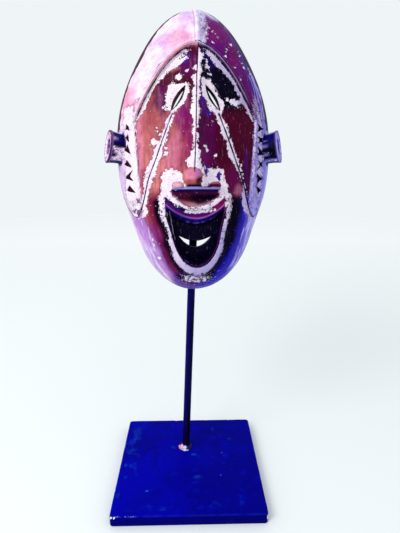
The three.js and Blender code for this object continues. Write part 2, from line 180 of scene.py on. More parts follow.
def curve(points, per_span=6):
    """Catmull-Rom curve through given points, as a list of tuples."""
    p = np.array(points, float)
    p = np.vstack([2 * p[0] - p[1], p, 2 * p[-1] - p[-2]])
    made = []
    for i in range(1, len(p) - 2):
        for s in np.linspace(0, 1, per_span, endpoint=False):
            a = 2 * p[i]
            b = p[i + 1] - p[i - 1]
            c = 2 * p[i - 1] - 5 * p[i] + 4 * p[i + 1] - p[i + 2]
            d = 3 * p[i] - p[i - 1] - 3 * p[i + 1] + p[i + 2]
            made.append(tuple(0.5 * (a + b * s + c * s * s + d * s * s * s)))
    made.append(tuple(p[-2]))
    return made


def distance(x, z, line):
    """Distance of each point from a line of (x, z) points, in mm."""
    best = np.full(np.shape(x), 1e9)
    for (ax, az), (bx, bz) in zip(line[:-1], line[1:]):
        dx, dz = bx - ax, bz - az
        s = clamp01(((x - ax) * dx + (z - az) * dz) / max(dx * dx + dz * dz, 1e-12))
        best = np.minimum(best, np.hypot(x - ax - s * dx, z - az - s * dz))
    return best


def inside(x, z, outline):
    hits = np.zeros(np.shape(x), bool)
    for (ax, az), (bx, bz) in zip(outline, outline[1:] + outline[:1]):
        if az != bz:
            hits ^= ((az > z) != (bz > z)) & (x < ax + (z - az) * (bx - ax) / (bz - az))
    return hits


def signed(x, z, outline):
    """Distance from a closed outline, positive inside it."""
    d = distance(x, z, outline + outline[:1])
    return np.where(inside(x, z, outline), d, -d)


def stroke(x, z, points):
    """How deep each point lies in a stroke of (x, z, half width) points, in mm."""
    best = np.full(np.shape(x), -50.0)
    for (ax, az, ar), (bx, bz, br) in zip(points[:-1], points[1:]):
        dx, dz = bx - ax, bz - az
        s = clamp01(((x - ax) * dx + (z - az) * dz) / max(dx * dx + dz * dz, 1e-12))
        best = np.maximum(best, mix(ar, br, s) - np.hypot(x - ax - s * dx, z - az - s * dz))
    return best


# Plain form of the mask
def rim_half(z):
    above = z > WIDEST
    reach = np.where(above, (z - WIDEST) / (CROWN - WIDEST), (WIDEST - z) / (WIDEST - CHIN))
    pinch = JAW_PINCH["by"] * bell(z - JAW_PINCH["z"], JAW_PINCH["spread"])
    pinch += CROWN_PINCH["by"] * bell(z - CROWN_PINCH["z"], CROWN_PINCH["spread"])
    fullness = np.where(above, CROWN_FULLNESS, CHIN_FULLNESS)
    return HALF_WIDTH * (1 - pinch) * np.maximum(0, 1 - reach * reach) ** fullness


def keel_depth(z):
    up = z > PEAK_HEIGHT
    reach = np.where(up, (z - PEAK_HEIGHT) / (CROWN - PEAK_HEIGHT), (PEAK_HEIGHT - z) / (PEAK_HEIGHT - CHIN))
    reach = clamp01(reach)
    bulge = np.maximum(0, 1 - reach ** np.where(up, 2.2, 1.6))
    return PEAK_DEPTH * bulge ** np.where(up, 0.65, 0.5)


def section_shape(t):
    """Share of the keel's depth across a section, from 1 at the keel to 0 at the rim."""
    edge = math.sqrt(1 - RIM_CUT**2.5)
    return (np.sqrt(1 - (np.minimum(1, t) * RIM_CUT) ** 2.5) - edge) / (1 - edge)


def rim_share(x, z):
    """How far out towards the rim each point lies, from 0 to 1."""
    return np.minimum(1, np.abs(x) / np.maximum(rim_half(z), 1e-6))


def front_depth(x, z):
    t = rim_share(x, z)
    keel = mix(JAW_ANGLE, KEEL_ANGLE, rise(z + 75, 50))
    return keel_depth(z) * section_shape(t) * (1 - keel * t * (1 - 0.35 * t))


# The keel isn't quite straight: it leans to the viewer's right above the brow
def keel_wander(z):
    return np.interp(z, [-36, -13, 11, 37, 77, 113, 149, 173], [-3, -2.2, -1, 0, 1.2, 3.6, 3.6, 2])


def beside_keel(x, z):
    return x - keel_wander(z) * (1 - rim_share(x, z) ** 2)


# Outlines of the carving
def arch_line(count=30):
    z = mix(ARCH_TOP, ARCH_FOOT, np.linspace(0, 1, count) ** 2)
    x = PANEL_HALF_TOP * ((ARCH_TOP - z) / (ARCH_TOP - ARCH_FOOT)) ** 0.55
    return list(zip(x, z))


def mirror(line):
    return [(-x, z) for x, z in reversed(line)]


LOBE_END = curve([(60, -58), (62.5, -65), (68, -69), (74, -65.5), (82, -54), (88, -44)])


def panel_outline():
    half = arch_line() + [(PANEL_HALF_FOOT, PANEL_FOOT)]
    return half + mirror(half)[:-1]


def hood_outline():
    half = arch_line() + LOBE_END + [(115, -30), (115, 190)]
    return half + mirror(half)[:-1]


def band_half(z, half, foot):
    reach = clamp01((STEP_ARC[1] - z) / (STEP_ARC[1] - foot))
    return half * (1 - reach**2.8) ** 0.5 * (1 - 0.06 * reach)


def mouth_middle(z):
    return mix(MOUTH_SHIFT["top"], MOUTH_SHIFT["foot"], rise(-55 - z, 60))


def u_outline(half, foot, arc):
    """Outline of the mouth's U shape, whose upper edge is an arc between two heights."""
    s = np.linspace(0, 1, 24)
    z = mix(arc[1], foot, 1 - (1 - s) ** 1.6)
    right = list(zip(band_half(z, half, foot), z))
    across = np.linspace(-1, 1, 25)[1:-1]
    top = [(q * half, mix(arc[0], arc[1], q * q)) for q in across]
    whole = right[:-1] + [(0, foot)] + mirror(right[:-1]) + top
    narrower = [(x * (1 - 0.11 * rise(-60 - z, 28)), z) for x, z in whole]
    askew = [(x * (MOUTH_LEFT_WIDER if x < 0 else 1), z) for x, z in narrower]
    return [(float(x + mouth_middle(z)), float(z)) for x, z in askew]


TEAR_LINE = curve([
    (25, 42), (29.5, 30.5), (35, 16.5), (44.5, -8), (52, -26), (56, -42), (59.5, -55), (63, -64), (68, -68.5),
    (74, -65), (82, -54.5), (87, -45),
], 5)
# Notches beside the cheeks: middle, half width there, and the ends of the arms cut from it
NOTCHES = [
    (-76.0, 32.0, 1.5, [(-77.5, 36.5), (-73.2, 28.0), (-79.0, 30.0)]),
    (-76.4, 20.8, 1.6, [(-79.8, 21.7), (-75.4, 25.0), (-74.3, 15.6)]),
    (-77.2, 8.2, 2.1, [(-81.8, 7.2), (-75.6, 13.0), (-72.2, 2.0)]),
    (-77.2, -8.0, 2.0, [(-81.5, -7.6), (-77.8, -3.6), (-71.2, -13.0)]),
    (-76.8, -22.6, 1.9, [(-80.2, -24.0), (-70.4, -15.8), (-69.8, -27.8)]),
    (-75.0, -36.6, 2.4, [(-78.8, -37.4), (-75.0, -32.2), (-67.2, -41.0)]),
    (74.6, 31.6, 1.9, [(71.2, 36.8), (79.6, 32.0), (70.8, 26.2)]),
    (76.2, 18.8, 1.8, [(70.8, 22.4), (81.6, 15.0), (72.4, 14.2)]),
    (75.6, 4.8, 2.2, [(71.2, 10.6), (81.8, 2.2), (71.2, 0.4)]),
    (76.0, -8.6, 1.2, [(71.2, -3.4), (80.0, -11.0), (70.8, -16.2), (80.4, -4.6)]),
    (74.2, -24.6, 2.2, [(70.6, -19.6), (79.8, -24.8), (71.2, -31.6)]),
    (74.2, -38.0, 2.1, [(71.2, -33.8), (78.4, -38.6), (72.8, -42.8)]),
]
# Chalk on the ridges between the notches on the right: strokes of x, z and half width
NOTCH_RIDGES = [
    [(71.5, 26.4, 0.8), (79.5, 22.2, 0.9)], [(73.5, 12.8, 0.9), (81.2, 7.4, 0.9)],
    [(72.8, -0.8, 0.8), (80.8, -2.4, 0.9)], [(74.2, -12.6, 0.9), (79.8, -15.6, 0.8)],
    [(72.6, -16.8, 0.8), (79.6, -20.6, 0.9)], [(72.4, -31.8, 0.8), (78.6, -34.6, 0.8)],
]


def nose_half(z):
    return mix(NOSE_HALF_TOP, NOSE_HALF_FOOT, smooth((NOSE_TOP - z) / (NOSE_TOP - NOSE_FOOT)))


def panel_depth(x, z):
    k = beside_keel(x, z)
    beside_nose = rise(np.abs(k) - nose_half(z) * 0.5, 12)
    eye_hollow = bell(np.abs(x) - EYE["x"], 17) * bell(z - EYE["z"], 34)
    sink = mix(PANEL_SINK_EDGE, PANEL_SINK_EYE, eye_hollow) * mix(0.3, 1, beside_nose)
    sink = sink * (1 - 0.55 * rise(np.abs(x) - 48, 12) * rise(46 - z, 12))
    return front_depth(k, z) - mix(0.0, sink, rise(z - PANEL_FOOT, 60))


def nose_depth(x, z):
    """Long wedge from under the arch down to a blunt round tip; far below the face elsewhere."""
    k = beside_keel(x, z)
    tip_top = NOSE_FOOT + NOSE_TIP
    down = (NOSE_TOP - z) / (NOSE_TOP - tip_top)
    round_off = np.sqrt(1 - (0.97 * clamp01((tip_top - z) / NOSE_TIP)) ** 2)
    half = nose_half(z) * mix(0.72, 1, round_off)
    flank = panel_depth(keel_wander(z) + half, z)
    crest = front_depth(np.zeros_like(z), z) + mix(-1.5, NOSE_PROUD, rise(down - 0.25, 0.75))
    power = mix(1.15, 2.4, rise(down - 0.6, 0.4))
    q = np.minimum(np.abs(k) / half, 1)
    height = (crest - flank) * mix(0.35, 1, round_off) * (1 - q**power)
    return np.where((np.abs(k) < half) & (z > NOSE_FOOT) & (z < NOSE_TOP), flank + height, -1e3)


def notch_depth(x, z):
    """Knife cuts in a row beside each cheek: arms that taper from a deep middle."""
    deep = np.zeros(np.shape(x))
    for mx, mz, half, ends in NOTCHES:
        for ex, ez in ends:
            bend = (mix(mx, ex, 0.55), mix(mz, ez, 0.55), half * 0.62)
            arm = stroke(x, z, [(mx, mz, half * 1.3), bend, (ex, ez, 0.35)])
            deep = np.maximum(deep, NOTCH_DEEP * clamp01(arm / 1.6))
    return deep


def surface_fields(x, z):
    """Signed distances that both the carving and the paint go by."""
    f = {"k": beside_keel(x, z), "t": rim_share(x, z)}
    outlines = {
        "panel": panel_outline(), "hood": hood_outline(), "band": u_outline(BAND_HALF, BAND_FOOT, BAND_ARC),
    }
    arcs = {"mouth": MOUTH_ARC, "lip": LIP_ARC, "lip_line": LIP_LINE_ARC, "recess": STEP_ARC}
    for name, arc in arcs.items():
        outlines[name] = u_outline(RECESS_HALF, RECESS_FOOT, arc)
    for name, outline in outlines.items():
        f[name] = signed(x, z, outline)
    for name, line in (("tear", TEAR_LINE), ("arch", arch_line())):
        f[name] = np.minimum(distance(x, z, line), distance(x, z, mirror(line)))
    return f


def step(d, width):
    """From 0 to 1 across an edge, over the given width in mm."""
    return smooth(0.5 + d / width)


def scoop_floor(x, z):
    across = (x / SCOOP["half"]) ** 2 + ((z - LEDGE["bottom"]) / SCOOP["high"]) ** 2
    floor = front_depth(x * 0.6, z) + 1 - SCOOP["deep"] * np.sqrt(np.maximum(0, 1 - across))
    return np.where((across < 1) & (z < LEDGE["bottom"]), floor, 1e3)


def carve(x, z, f=None):
    """Depth of the finished front over the rim plane, in mm."""
    f = f or surface_fields(x, z)
    k = f["k"]
    depth = front_depth(k, z)
    depth = mix(depth, panel_depth(x, z), step(f["panel"], 3.2))
    near_rim = rise(1 - f["t"], 0.04)
    depth = depth + RAISED * step(f["hood"], 2.4) * near_rim
    # Brow arch: a round bead outside the panel edge, between two cut lines
    on_arch = rise(z - ARCH_FOOT + 4, 14) * rise(f["hood"] + 0.6, 0.6)
    bead = np.maximum(0, 1 - ((f["arch"] - ARCH_BEAD["out"]) / ARCH_BEAD["half"]) ** 2)
    depth += on_arch * (ARCH_BEAD["high"] * bead - 0.5 * bell(f["arch"] - 6.6, 0.8))
    depth -= 0.8 * bell(f["arch"], 1.0) * rise(z - ARCH_FOOT + 10, 14)
    # Keel: a narrow raised band above the arch, a cut line below it
    above = rise(z - ARCH_TOP + 4, 5) * rise(CROWN - 1 - z, 6)
    depth += above * (1.0 * step(KEEL_BAND_HALF - np.abs(k), 1.6) - 0.35 * bell(np.abs(k) - 3.9, 0.9))
    depth = np.maximum(depth, nose_depth(x, z))
    line = rise(z + 21, 5) * rise(ARCH_TOP + 1 - z, 4)
    depth -= line * 0.9 * bell(k, 0.9)
    # Nostril mounds
    for side in (-1, 1):
        across = (x - side * NOSTRIL["x"]) / NOSTRIL["wide"]
        ball = 1 - across**2 - ((z - NOSTRIL["z"]) / NOSTRIL["high"]) ** 2
        seat = panel_depth(x, z) + 0.5
        mound = seat + NOSTRIL["deep"] * smooth(np.maximum(0, ball)) ** 0.6
        depth = np.where((ball > 0) & (z > LEDGE["top"]), np.maximum(depth, mound), depth)
    # Ledge under the nose and the scoop below it
    shelf = step(z - LEDGE["bottom"], 0.9) * step(LEDGE["top"] - z, 0.9)
    shelf *= step(LEDGE["half"] - np.abs(x), 2.0)
    depth = np.maximum(depth, mix(depth, front_depth(x, z) + RAISED + 0.4, shelf))
    depth = np.minimum(depth, scoop_floor(x, z))
    # Mouth: band, cove outside it, lip steps and the deep recess
    cove = np.maximum(0, 1 - ((-f["band"] - COVE["out"]) / COVE["half"]) ** 2)
    cove *= COVE["deep"] * rise(-34 - z, 16)
    depth -= cove * mix(1, 0.6, rise(-z - 120, 20))
    q = clamp01(f["band"] / np.maximum(f["band"] - np.minimum(f["lip"], 0), 1e-3))
    on_band = step(f["band"], 1.6) * rise(-40 - z, 14)
    depth += RAISED * on_band * (0.65 + 1.6 * q * (1 - q))
    lip = front_depth(x * 0.5, z) - mix(0.5, 7, rise(LIP_ARC[1] - z, 26))
    lip += 0.8 * bell(f["lip_line"], 1.1) - 1.2 * step(f["lip_line"], 1.6)
    depth = np.where(f["lip"] > -1.5, mix(depth, np.minimum(depth, lip), step(f["lip"], 1.6)), depth)
    floor = front_depth(x * 0.5, z) - RECESS_DEEP
    inner_wall = INNER_WALL * (1 - rise(f["recess"] - 1.4, 2.6))
    deep = mix(depth, floor + inner_wall, step(f["recess"] - 0.4, 1.5))
    depth = np.where(f["recess"] > -1.2, np.minimum(depth, deep), depth)
    # Tear lines and lobe edges, notches
    depth -= TEAR_CUT * bell(f["tear"], 1.1) * near_rim
    depth -= notch_depth(x, z)
    # Knife facets left in the wood, a little stronger on the hood
    facets = lattice_noise(x, z * 0.55, 7.5, 11) + 0.5 * lattice_noise(x, z * 0.7, 3.2, 12)
    depth += near_rim * facets * mix(0.14, 0.26, step(f["hood"], 6))
    return depth


def hollow_depth(x, z):
    behind_mouth = HOLLOW["more"] * np.exp(
        -(((x - 1) / HOLLOW["half"]) ** 4) - (((z - HOLLOW["z"]) / HOLLOW["high"]) ** 4)
    )
    return np.maximum(HOLLOW["least"], front_depth(x, z) - HOLLOW["behind"] - behind_mouth)


def mask_matrix():
    turn = Matrix.Rotation(MASK_TURN, 4, "Z")
    lean = Matrix.Rotation(-MASK_LEAN, 4, "X")
    return Matrix.Translation(Vector(MASK_PLACE) * MM) @ turn @ lean @ Matrix.Scale(MM, 4)


def blur(values, spread, axis):
    """Gaussian blur of an array along one axis, with its ends held."""
    reach = int(spread * 3)
    kernel = bell(np.arange(-reach, reach + 1), spread * math.sqrt(2))
    kernel /= kernel.sum()
    padded = np.moveaxis(values, axis, -1)
    padded = np.concatenate(
        [np.repeat(padded[..., :1], reach, -1), padded, np.repeat(padded[..., -1:], reach, -1)], -1
    )
    made = np.apply_along_axis(lambda row: np.convolve(row, kernel, "valid"), -1, padded)
    return np.moveaxis(made, -1, axis)


def row_heights():
    """Heights of the grid rows: even along the keel, closer together round the mouth."""
    a = np.linspace(-math.pi / 2, math.pi / 2, 6001)
    z = WIDEST + np.sin(a) * np.where(a > 0, CROWN - WIDEST, WIDEST - CHIN) * (1 - 1e-4)
    along = np.hypot(np.diff(z), np.diff(keel_depth(z)))
    middle = (z[1:] + z[:-1]) / 2
    along *= 1 + 0.5 * bell(middle + 52, 26) - 0.3 * rise(middle - 122, 10)
    total = np.concatenate([[0], np.cumsum(along)])
    return np.interp(np.linspace(0, total[-1], ROWS + 1), total, z)


def column_places(z):
    """Places of the grid columns in each row, closer together across steep walls."""
    u = np.sin(np.linspace(-1, 1, 701) * math.pi / 2)
    x = u[None, :] * rim_half(z)[:, None]
    height = np.repeat(z[:, None], len(u), 1)
    depth = carve(x, height)
    depth[:, [0, -1]] = 0
    along = np.hypot(np.diff(x, axis=1), 0.7 * np.diff(depth, axis=1))
    along = blur(along, 7, 0)
    total = np.concatenate([np.zeros((len(z), 1)), np.cumsum(along, axis=1)], axis=1)
    made = np.empty((len(z), COLUMNS + 1))
    for i in range(len(z)):
        share = np.linspace(0, total[i, -1], COLUMNS + 1)
        made[i] = np.interp(share, total[i], u)
    return made


def grid_faces(rows, columns, start=0, flip=False):
    """Quads of a grid whose vertices run row by row."""
    i, j = np.meshgrid(np.arange(rows), np.arange(columns), indexing="ij")
    a = (start + i * (columns + 1) + j).ravel()
    b, c, d = a + 1, a + columns + 2, a + columns + 1
    return np.stack([a, d, c, b] if flip else [a, b, c, d], 1).tolist()


def mask_mesh():
    """The mask without ears and openings: front grid, rounded rim, back of the rim and hollow."""
    z = row_heights()
    t = column_places(z)
    half = rim_half(z)[:, None]
    height = np.repeat(z[:, None], COLUMNS + 1, 1)
    x = t * half
    f = surface_fields(x, height)
    depth = carve(x, height, f)
    x = x + np.sign(t) * np.abs(t) * RIM_GROW * step(f["hood"], 1.6)
    depth[:, [0, -1]] = RIM_EDGE
    pole = np.zeros((1, COLUMNS + 1))
    x = np.vstack([pole, x, pole])
    depth = np.vstack([pole + RIM_EDGE, depth, pole + RIM_EDGE])
    height = np.vstack([pole + CHIN, height, pole + CROWN])
    front = np.stack([x, -depth, height], 2)
    rows = len(front) - 1
    faces = grid_faces(rows, COLUMNS)
    verts = [front.reshape(-1, 3)]
    count = front.shape[0] * front.shape[1]
    # Rounded edge of the rim: two loops that follow the outline inwards
    outer = {-1: np.arange(rows + 1) * (COLUMNS + 1), 1: np.arange(rows + 1) * (COLUMNS + 1) + COLUMNS}
    for side in (-1, 1):
        edge = front[:, 0 if side < 0 else -1]
        run = np.gradient(edge[:, [0, 2]], axis=0)
        run[0], run[-1] = (side, 0), (-side, 0)
        run /= np.linalg.norm(run, axis=1, keepdims=True)
        inward = np.stack([-run[:, 1], run[:, 0]], 1) * side
        inward[0], inward[-1] = (0, 1), (0, -1)
        for inset, lift in RIM_LOOPS:
            loop = edge.copy()
            loop[:, [0, 2]] += inward * inset
            loop[:, 0] = np.where(np.abs(edge[:, 0]) < inset, edge[:, 0] * 0, loop[:, 0])
            loop[:, 1] = -lift
            loop[[0, -1], 0] = 0
            verts.append(loop)
            index = count + np.arange(rows + 1)
            previous = outer[side]
            for i in range(rows):
                quad = [previous[i], previous[i + 1], index[i + 1], index[i]]
                faces.append(quad if side < 0 else quad[::-1])
            outer[side] = index
            count += rows + 1
    # Hollow: the plain form again, narrower and shorter by the wall
    pick = np.unique(np.concatenate([np.arange(0, rows, INSIDE_STEP), [rows]]))
    narrow = (HALF_WIDTH - WALL) / HALF_WIDTH
    short = (CROWN - CHIN - 2 * WALL) / (CROWN - CHIN)
    u = np.sin(np.linspace(-1, 1, INSIDE_COLUMNS + 1) * math.pi / 2)
    level = np.concatenate([[CHIN], z, [CROWN]])[pick]
    ix = u[None, :] * rim_half(level)[:, None]
    iz = np.repeat(level[:, None], len(u), 1)
    adze = 1.1 * lattice_noise(ix, iz * 0.6, 11, 21) * rise(1 - np.abs(u), 0.1)[None, :]
    deep = hollow_depth(ix, iz) + adze
    deep[:, [0, -1]] = 0
    ix[[0, -1]] = 0
    hollow = np.stack([ix * narrow, -deep, iz * short], 2)
    start = count
    verts.append(hollow.reshape(-1, 3))
    faces += grid_faces(len(pick) - 1, INSIDE_COLUMNS, start, flip=True)
    # Flat back of the rim, from the fine outer loop to the coarse inner one
    for side in (-1, 1):
        column = 0 if side < 0 else INSIDE_COLUMNS
        inner = start + np.arange(len(pick)) * (INSIDE_COLUMNS + 1) + column
        for n in range(len(pick) - 1):
            a, b = pick[n], pick[n + 1]
            turn = (a + b) // 2
            fan = [[outer[side][i], outer[side][i + 1], inner[n if i < turn else n + 1]] for i in range(a, b)]
            fan.append([outer[side][turn], inner[n + 1], inner[n]])
            faces += fan if side < 0 else [tri[::-1] for tri in fan]
    return np.vstack(verts), [[int(v) for v in face] for face in faces]


def put_in_scene(name, data):
    made = bpy.data.objects.new(name, data)
    bpy.context.scene.collection.objects.link(made)
    return made


def new_object(name, verts, faces):
    mesh = bpy.data.meshes.new(name)
    mesh.from_pydata([tuple(v) for v in verts], [], faces)
    mesh.validate()
    return put_in_scene(name, mesh)


def weld(made, gap):
    """Joins doubled vertices, drops faces that close up and turns the rest outwards."""
    bm = bmesh.new()
    bm.from_mesh(made.data)
    bmesh.ops.remove_doubles(bm, verts=bm.verts, dist=gap)
    bmesh.ops.dissolve_degenerate(bm, edges=bm.edges, dist=gap * 0.1)
    bmesh.ops.recalc_face_normals(bm, faces=bm.faces)
    bm.to_mesh(made.data)
    bm.free()


def ring_loft(rings, hoop=False):
    """Solid through rings of points, as vertices and faces: capped, or closed into a hoop."""
    count, n = len(rings), len(rings[0])
    faces = []
    for i in range(count if hoop else count - 1):
        here, there = i * n, (i + 1) % count * n
        for j in range(n):
            k = (j + 1) % n
            faces.append([here + j, here + k, there + k, there + j])
    if not hoop:
        faces += [list(range(n))[::-1], [(count - 1) * n + j for j in range(n)]]
    return [p for ring in rings for p in ring], faces


def ear_axis(side):
    """Direction in which an ear points: outwards, a little forwards and up."""
    level = math.cos(EAR_UPWARD)
    return np.array([
        side * level * math.cos(EAR_FORWARD), -level * math.sin(EAR_FORWARD), math.sin(EAR_UPWARD),
    ])


def ear_reach(points, axis):
    """How far back from its end disc each line of an ear runs before it is safely in the wood."""
    reach = np.full(len(points), EAR["length"])
    for back in np.linspace(EAR["length"], 7, 60):
        p = points - axis * back
        buried = front_depth(p[:, 0], p[:, 2]) + p[:, 1]
        reach = np.where(buried > 4.5, back, reach)
    return np.minimum(reach, 21)


def ear_solid(side):
    """Spool with a flared, slightly dished end and a round hollow in its middle."""
    r = EAR["radius"]
    profile = [
        (0.01, -EAR["length"]), (r - 1.5, -EAR["length"]), (r - 1.5, -10), (r - 1.1, -6.5),
        (r - 0.8, -4), (r - 0.3, -2.2), (r - 0.05, -1.2), (r - 0.3, -0.4), (r - 1.1, 0), (r - 3.0, -0.1),
        (r - 3.9, -0.6), (r - 4.4, -1.2), (r - 6, -1.3), (r - 8.5, -1.2), (9.6, -1.1), (8.9, -1.5),
        (8.3, -2.6), (7.7, -4.8), (7.2, -7.4), (6.2, -8.5), (3.5, -8.9), (0.01, -9.0),
    ]
    axis = ear_axis(side)
    across = np.cross(axis, [0, 0, 1])
    across /= np.linalg.norm(across)
    up = np.cross(across, axis)
    middle = np.array([side * EAR["x"], -EAR["depth"], EAR["z"]])
    turns = np.linspace(0, 2 * math.pi, 72, endpoint=False)
    wobble = 1 + 0.012 * np.sin(turns * 3 + side) + 0.008 * np.sin(turns * 7 + 2 * side)
    spokes = np.cos(turns)[:, None] * across + np.sin(turns)[:, None] * up
    rings = []
    for radius, along in profile:
        ring = middle + axis * along + spokes * (radius * wobble)[:, None]
        if along <= -EAR["length"] + 1:
            ring = middle + spokes * (radius * wobble)[:, None]
            ring += axis * -ear_reach(ring, axis)[:, None]
        rings.append(ring.tolist())
    return ring_loft(rings)


def almond(half, open_by, count=18):
    s = np.linspace(-1, 1, count)
    top = [(half * q, open_by * (1 - q * q)) for q in s]
    return top + [(x, -y) for x, y in top[1:-1]][::-1]


def eye_ring(side, half, open_by, count=18, lift=0.0):
    """Almond of an eye about its own middle, slanted, with its long axis shifted by a lift."""
    slant = math.radians(EYE["slant"]) * side
    s, c = math.sin(slant), math.cos(slant)
    return [(u * c + (v + lift) * s, -u * s + (v + lift) * c) for u, v in almond(half, open_by, count)]


def eye_solid(side):
    """Almond funnel through the face: wide at the front, narrow behind, both askew to one side."""
    skew = -math.radians(EYE["skew"])
    s, c = math.sin(skew), math.cos(skew)
    seat = float(panel_depth(np.array([side * EYE["x"]]), np.array([EYE["z"]]))[0])
    rings = []
    for along in (30, 12, 8, 5, 2, -1, -4, -7, -10, -40):
        narrow = rise(2 - along, 9)
        half = EYE["half"] * mix(1.02, 0.86, narrow)
        ring = eye_ring(side, half, mix(EYE["open"], EYE["slit"], narrow), lift=0.7 * narrow)
        mx, my = side * EYE["x"] + along * s, -seat - along * c
        rings.append([(mx + x * c, my + x * s, EYE["z"] + z) for x, z in ring])
    return ring_loft(rings)


def slot_edges(q, more):
    """Lower and upper edge of the slot, more mm wider, at a share q of its half width."""
    return [mix(edge, SLOT["tip"], q * q) for edge in (SLOT["bottom"] - more, SLOT["top"] + more)]


def slot_solid():
    """Crescent cut through the back of the mouth, with a small bevel at its front edge."""
    q = np.linspace(-1, 1, 25)
    floor = float(front_depth(np.zeros(1), np.array([SLOT["top"]]))[0]) - RECESS_DEEP
    rings = []
    for depth, more in ((floor + 14, 0.9), (floor + 1.2, 0.9), (floor - 0.6, 0.2), (floor - 2, 0), (4, 0)):
        x = SLOT["x"] + q * (SLOT["half"] + more)
        low, high = slot_edges(q, more)
        around = list(zip(x, low)) + list(zip(x, high))[-2:0:-1]
        rings.append([(px, -depth, pz) for px, pz in around])
    return ring_loft(rings)


def boolean(made, tool_parts, operation):
    """Joins or cuts with a temporary solid, and removes it."""
    tool = new_object("tool", *tool_parts)
    weld(tool, 1e-5)
    modifier = made.modifiers.new("cut", "BOOLEAN")
    modifier.operation = operation
    modifier.solver = "MANIFOLD"
    modifier.object = tool
    bpy.context.view_layer.update()
    depsgraph = bpy.context.evaluated_depsgraph_get()
    result = bpy.data.meshes.new_from_object(made.evaluated_get(depsgraph))
    made.modifiers.clear()
    old = made.data
    made.data = result
    bpy.data.meshes.remove(old)
    bpy.data.meshes.remove(tool.data)


def build_mask():
    mask = new_object("carved_mask", *mask_mesh())
    weld(mask, 0.02)
    for side in (-1, 1):
        boolean(mask, ear_solid(side), "UNION")
    for side in (-1, 1):
        boolean(mask, eye_solid(side), "DIFFERENCE")
    boolean(mask, slot_solid(), "DIFFERENCE")
    return mask


def world_points(made):
    flat = np.empty(len(made.data.vertices) * 3)
    made.data.vertices.foreach_get("co", flat)
    return flat.reshape(-1, 3)


def add_fields(made, fields):
    for name, values in fields.items():
        attribute = made.data.attributes.new(name, "FLOAT", "POINT")
        attribute.data.foreach_set("value", np.asarray(values, float).ravel())


# Colours of the worn paint, and of the light and shade painted on it, as seen (sRGB, 0 to 255)
PALETTE = {
    "chalk_warm": (240, 226, 240), "blush": (228, 190, 226), "lilac": (174, 122, 200),
    "rose": (222, 134, 172), "salmon": (200, 118, 116), "brick": (150, 66, 72), "crimson": (128, 12, 62),
    "magenta": (122, 8, 96), "plum": (84, 2, 74), "purple": (90, 2, 108), "maroon": (70, 0, 34),
    "night": (3, 0, 22), "navy": (6, 0, 84), "violet": (66, 22, 144), "blue": (24, 10, 170),
    "iris": (94, 82, 206), "pale_blue": (164, 158, 236), "shell": (214, 206, 240),
    # ledge is the painted highlight on the ledge's top; deep_hollow_shade is painted shade deep in the
    # hollow; night and navy also serve as painted shade in many places
    "flesh": (206, 158, 170), "ledge": (150, 138, 204), "raw_wood": (96, 44, 62),
    "deep_hollow_shade": (54, 18, 40), "worn_wood": (142, 84, 98),
}
# Chalk as lit and as painted in shade; the cut lines' painted shade, brown on the lit left and navy on the
# shaded right
CHALK_LIT_AND_SHADED_TINTS = ((236, 222, 232), (176, 164, 216))
CUT_SHADE_COLOURS = ((52, 6, 34), (12, 0, 42))


def to_linear(r, g, b):
    c = np.array([r, g, b]) / 255
    return np.where(c <= 0.04045, c / 12.92, ((c + 0.055) / 1.055) ** 2.4)


def linear(name):
    return to_linear(*PALETTE[name])


def rgba(r, g, b):
    return (*to_linear(r, g, b).tolist(), 1)


def plain(name, x):
    """One colour for every point of x."""
    return np.tile(linear(name), (len(x), 1))


def wash(colour, name, weight):
    """Lays a colour over an array of colours, by a weight from 0 to 1 at each point."""
    w = clamp01(weight)[:, None]
    return colour * (1 - w) + linear(name) * w


def washes(colour, layers):
    for name, weight in layers:
        colour = wash(colour, name, weight)
    return colour


def blend(over, under, share):
    """One array of colours over another, by a share from 0 to 1 at each point."""
    s = share[:, None]
    return over * s + under * (1 - s)


def patch(x, z, px, pz, wide, high, edge=0.6):
    """Soft oval patch, 1 in its middle and 0 outside."""
    d = np.hypot((x - px) / wide, (z - pz) / high)
    return rise(1 + edge / 2 - d, edge)


# Chalk along each cut: heights and the width left there, on the viewer's left and right
ARCH_CHALK = {
    -1: [(38, 0.5), (42, 2.4), (48, 3), (56, 3.4), (64, 3), (72, 3.4), (78, 4.2), (83, 5.5), (88, 7),
         (92, 9.5), (96, 11.5), (100, 11), (104, 8), (108, 4.5), (112, 1)],
    1: [(38, 1), (42, 2.4), (48, 3), (54, 3.2), (57, 5), (60, 5), (64, 3.4), (70, 3.6), (76, 3.8),
        (82, 3.6), (87, 4.6), (93, 6.6), (98, 6.2), (104, 4.6), (108, 2.6), (112, 0.8)],
}
KEEL_CHALK = {
    -1: [(-22, 0), (-20, 3.5), (-15, 6), (-10, 8), (-5, 5.2), (-1, 4), (2, 1.9), (8, 1.5), (16, 1.6),
         (19, 4.8), (21, 3), (23, 1.8), (28, 2.4), (34, 2.8), (38, 3), (41, 5), (46, 5.2), (49, 3.6),
         (54, 3), (60, 2.8), (66, 3), (68, 1.2), (70, 2.6), (74, 3.4), (78, 4), (81, 2), (83, -0.5),
         (85, 0.5), (87, 4.5), (90, 4.4), (92, -1)],
    1: [(-30, 1), (-28, 3), (-25, 5), (-18, 7.5), (-14, 7), (-11, 5.4), (-6, 4.4), (1, 3.6), (3, 0.5),
        (6, 2), (15, 2.4), (21, 0.6), (25, 1.8), (28, 0.2), (31, 1), (36, 3), (44, 3.4), (48, 2.4),
        (50, 0.6), (54, 2.2), (62, 3), (70, 3.2), (76, 3.6), (84, 4.4), (90, 4), (98, 4.2), (106, 3),
        (112, 1)],
}
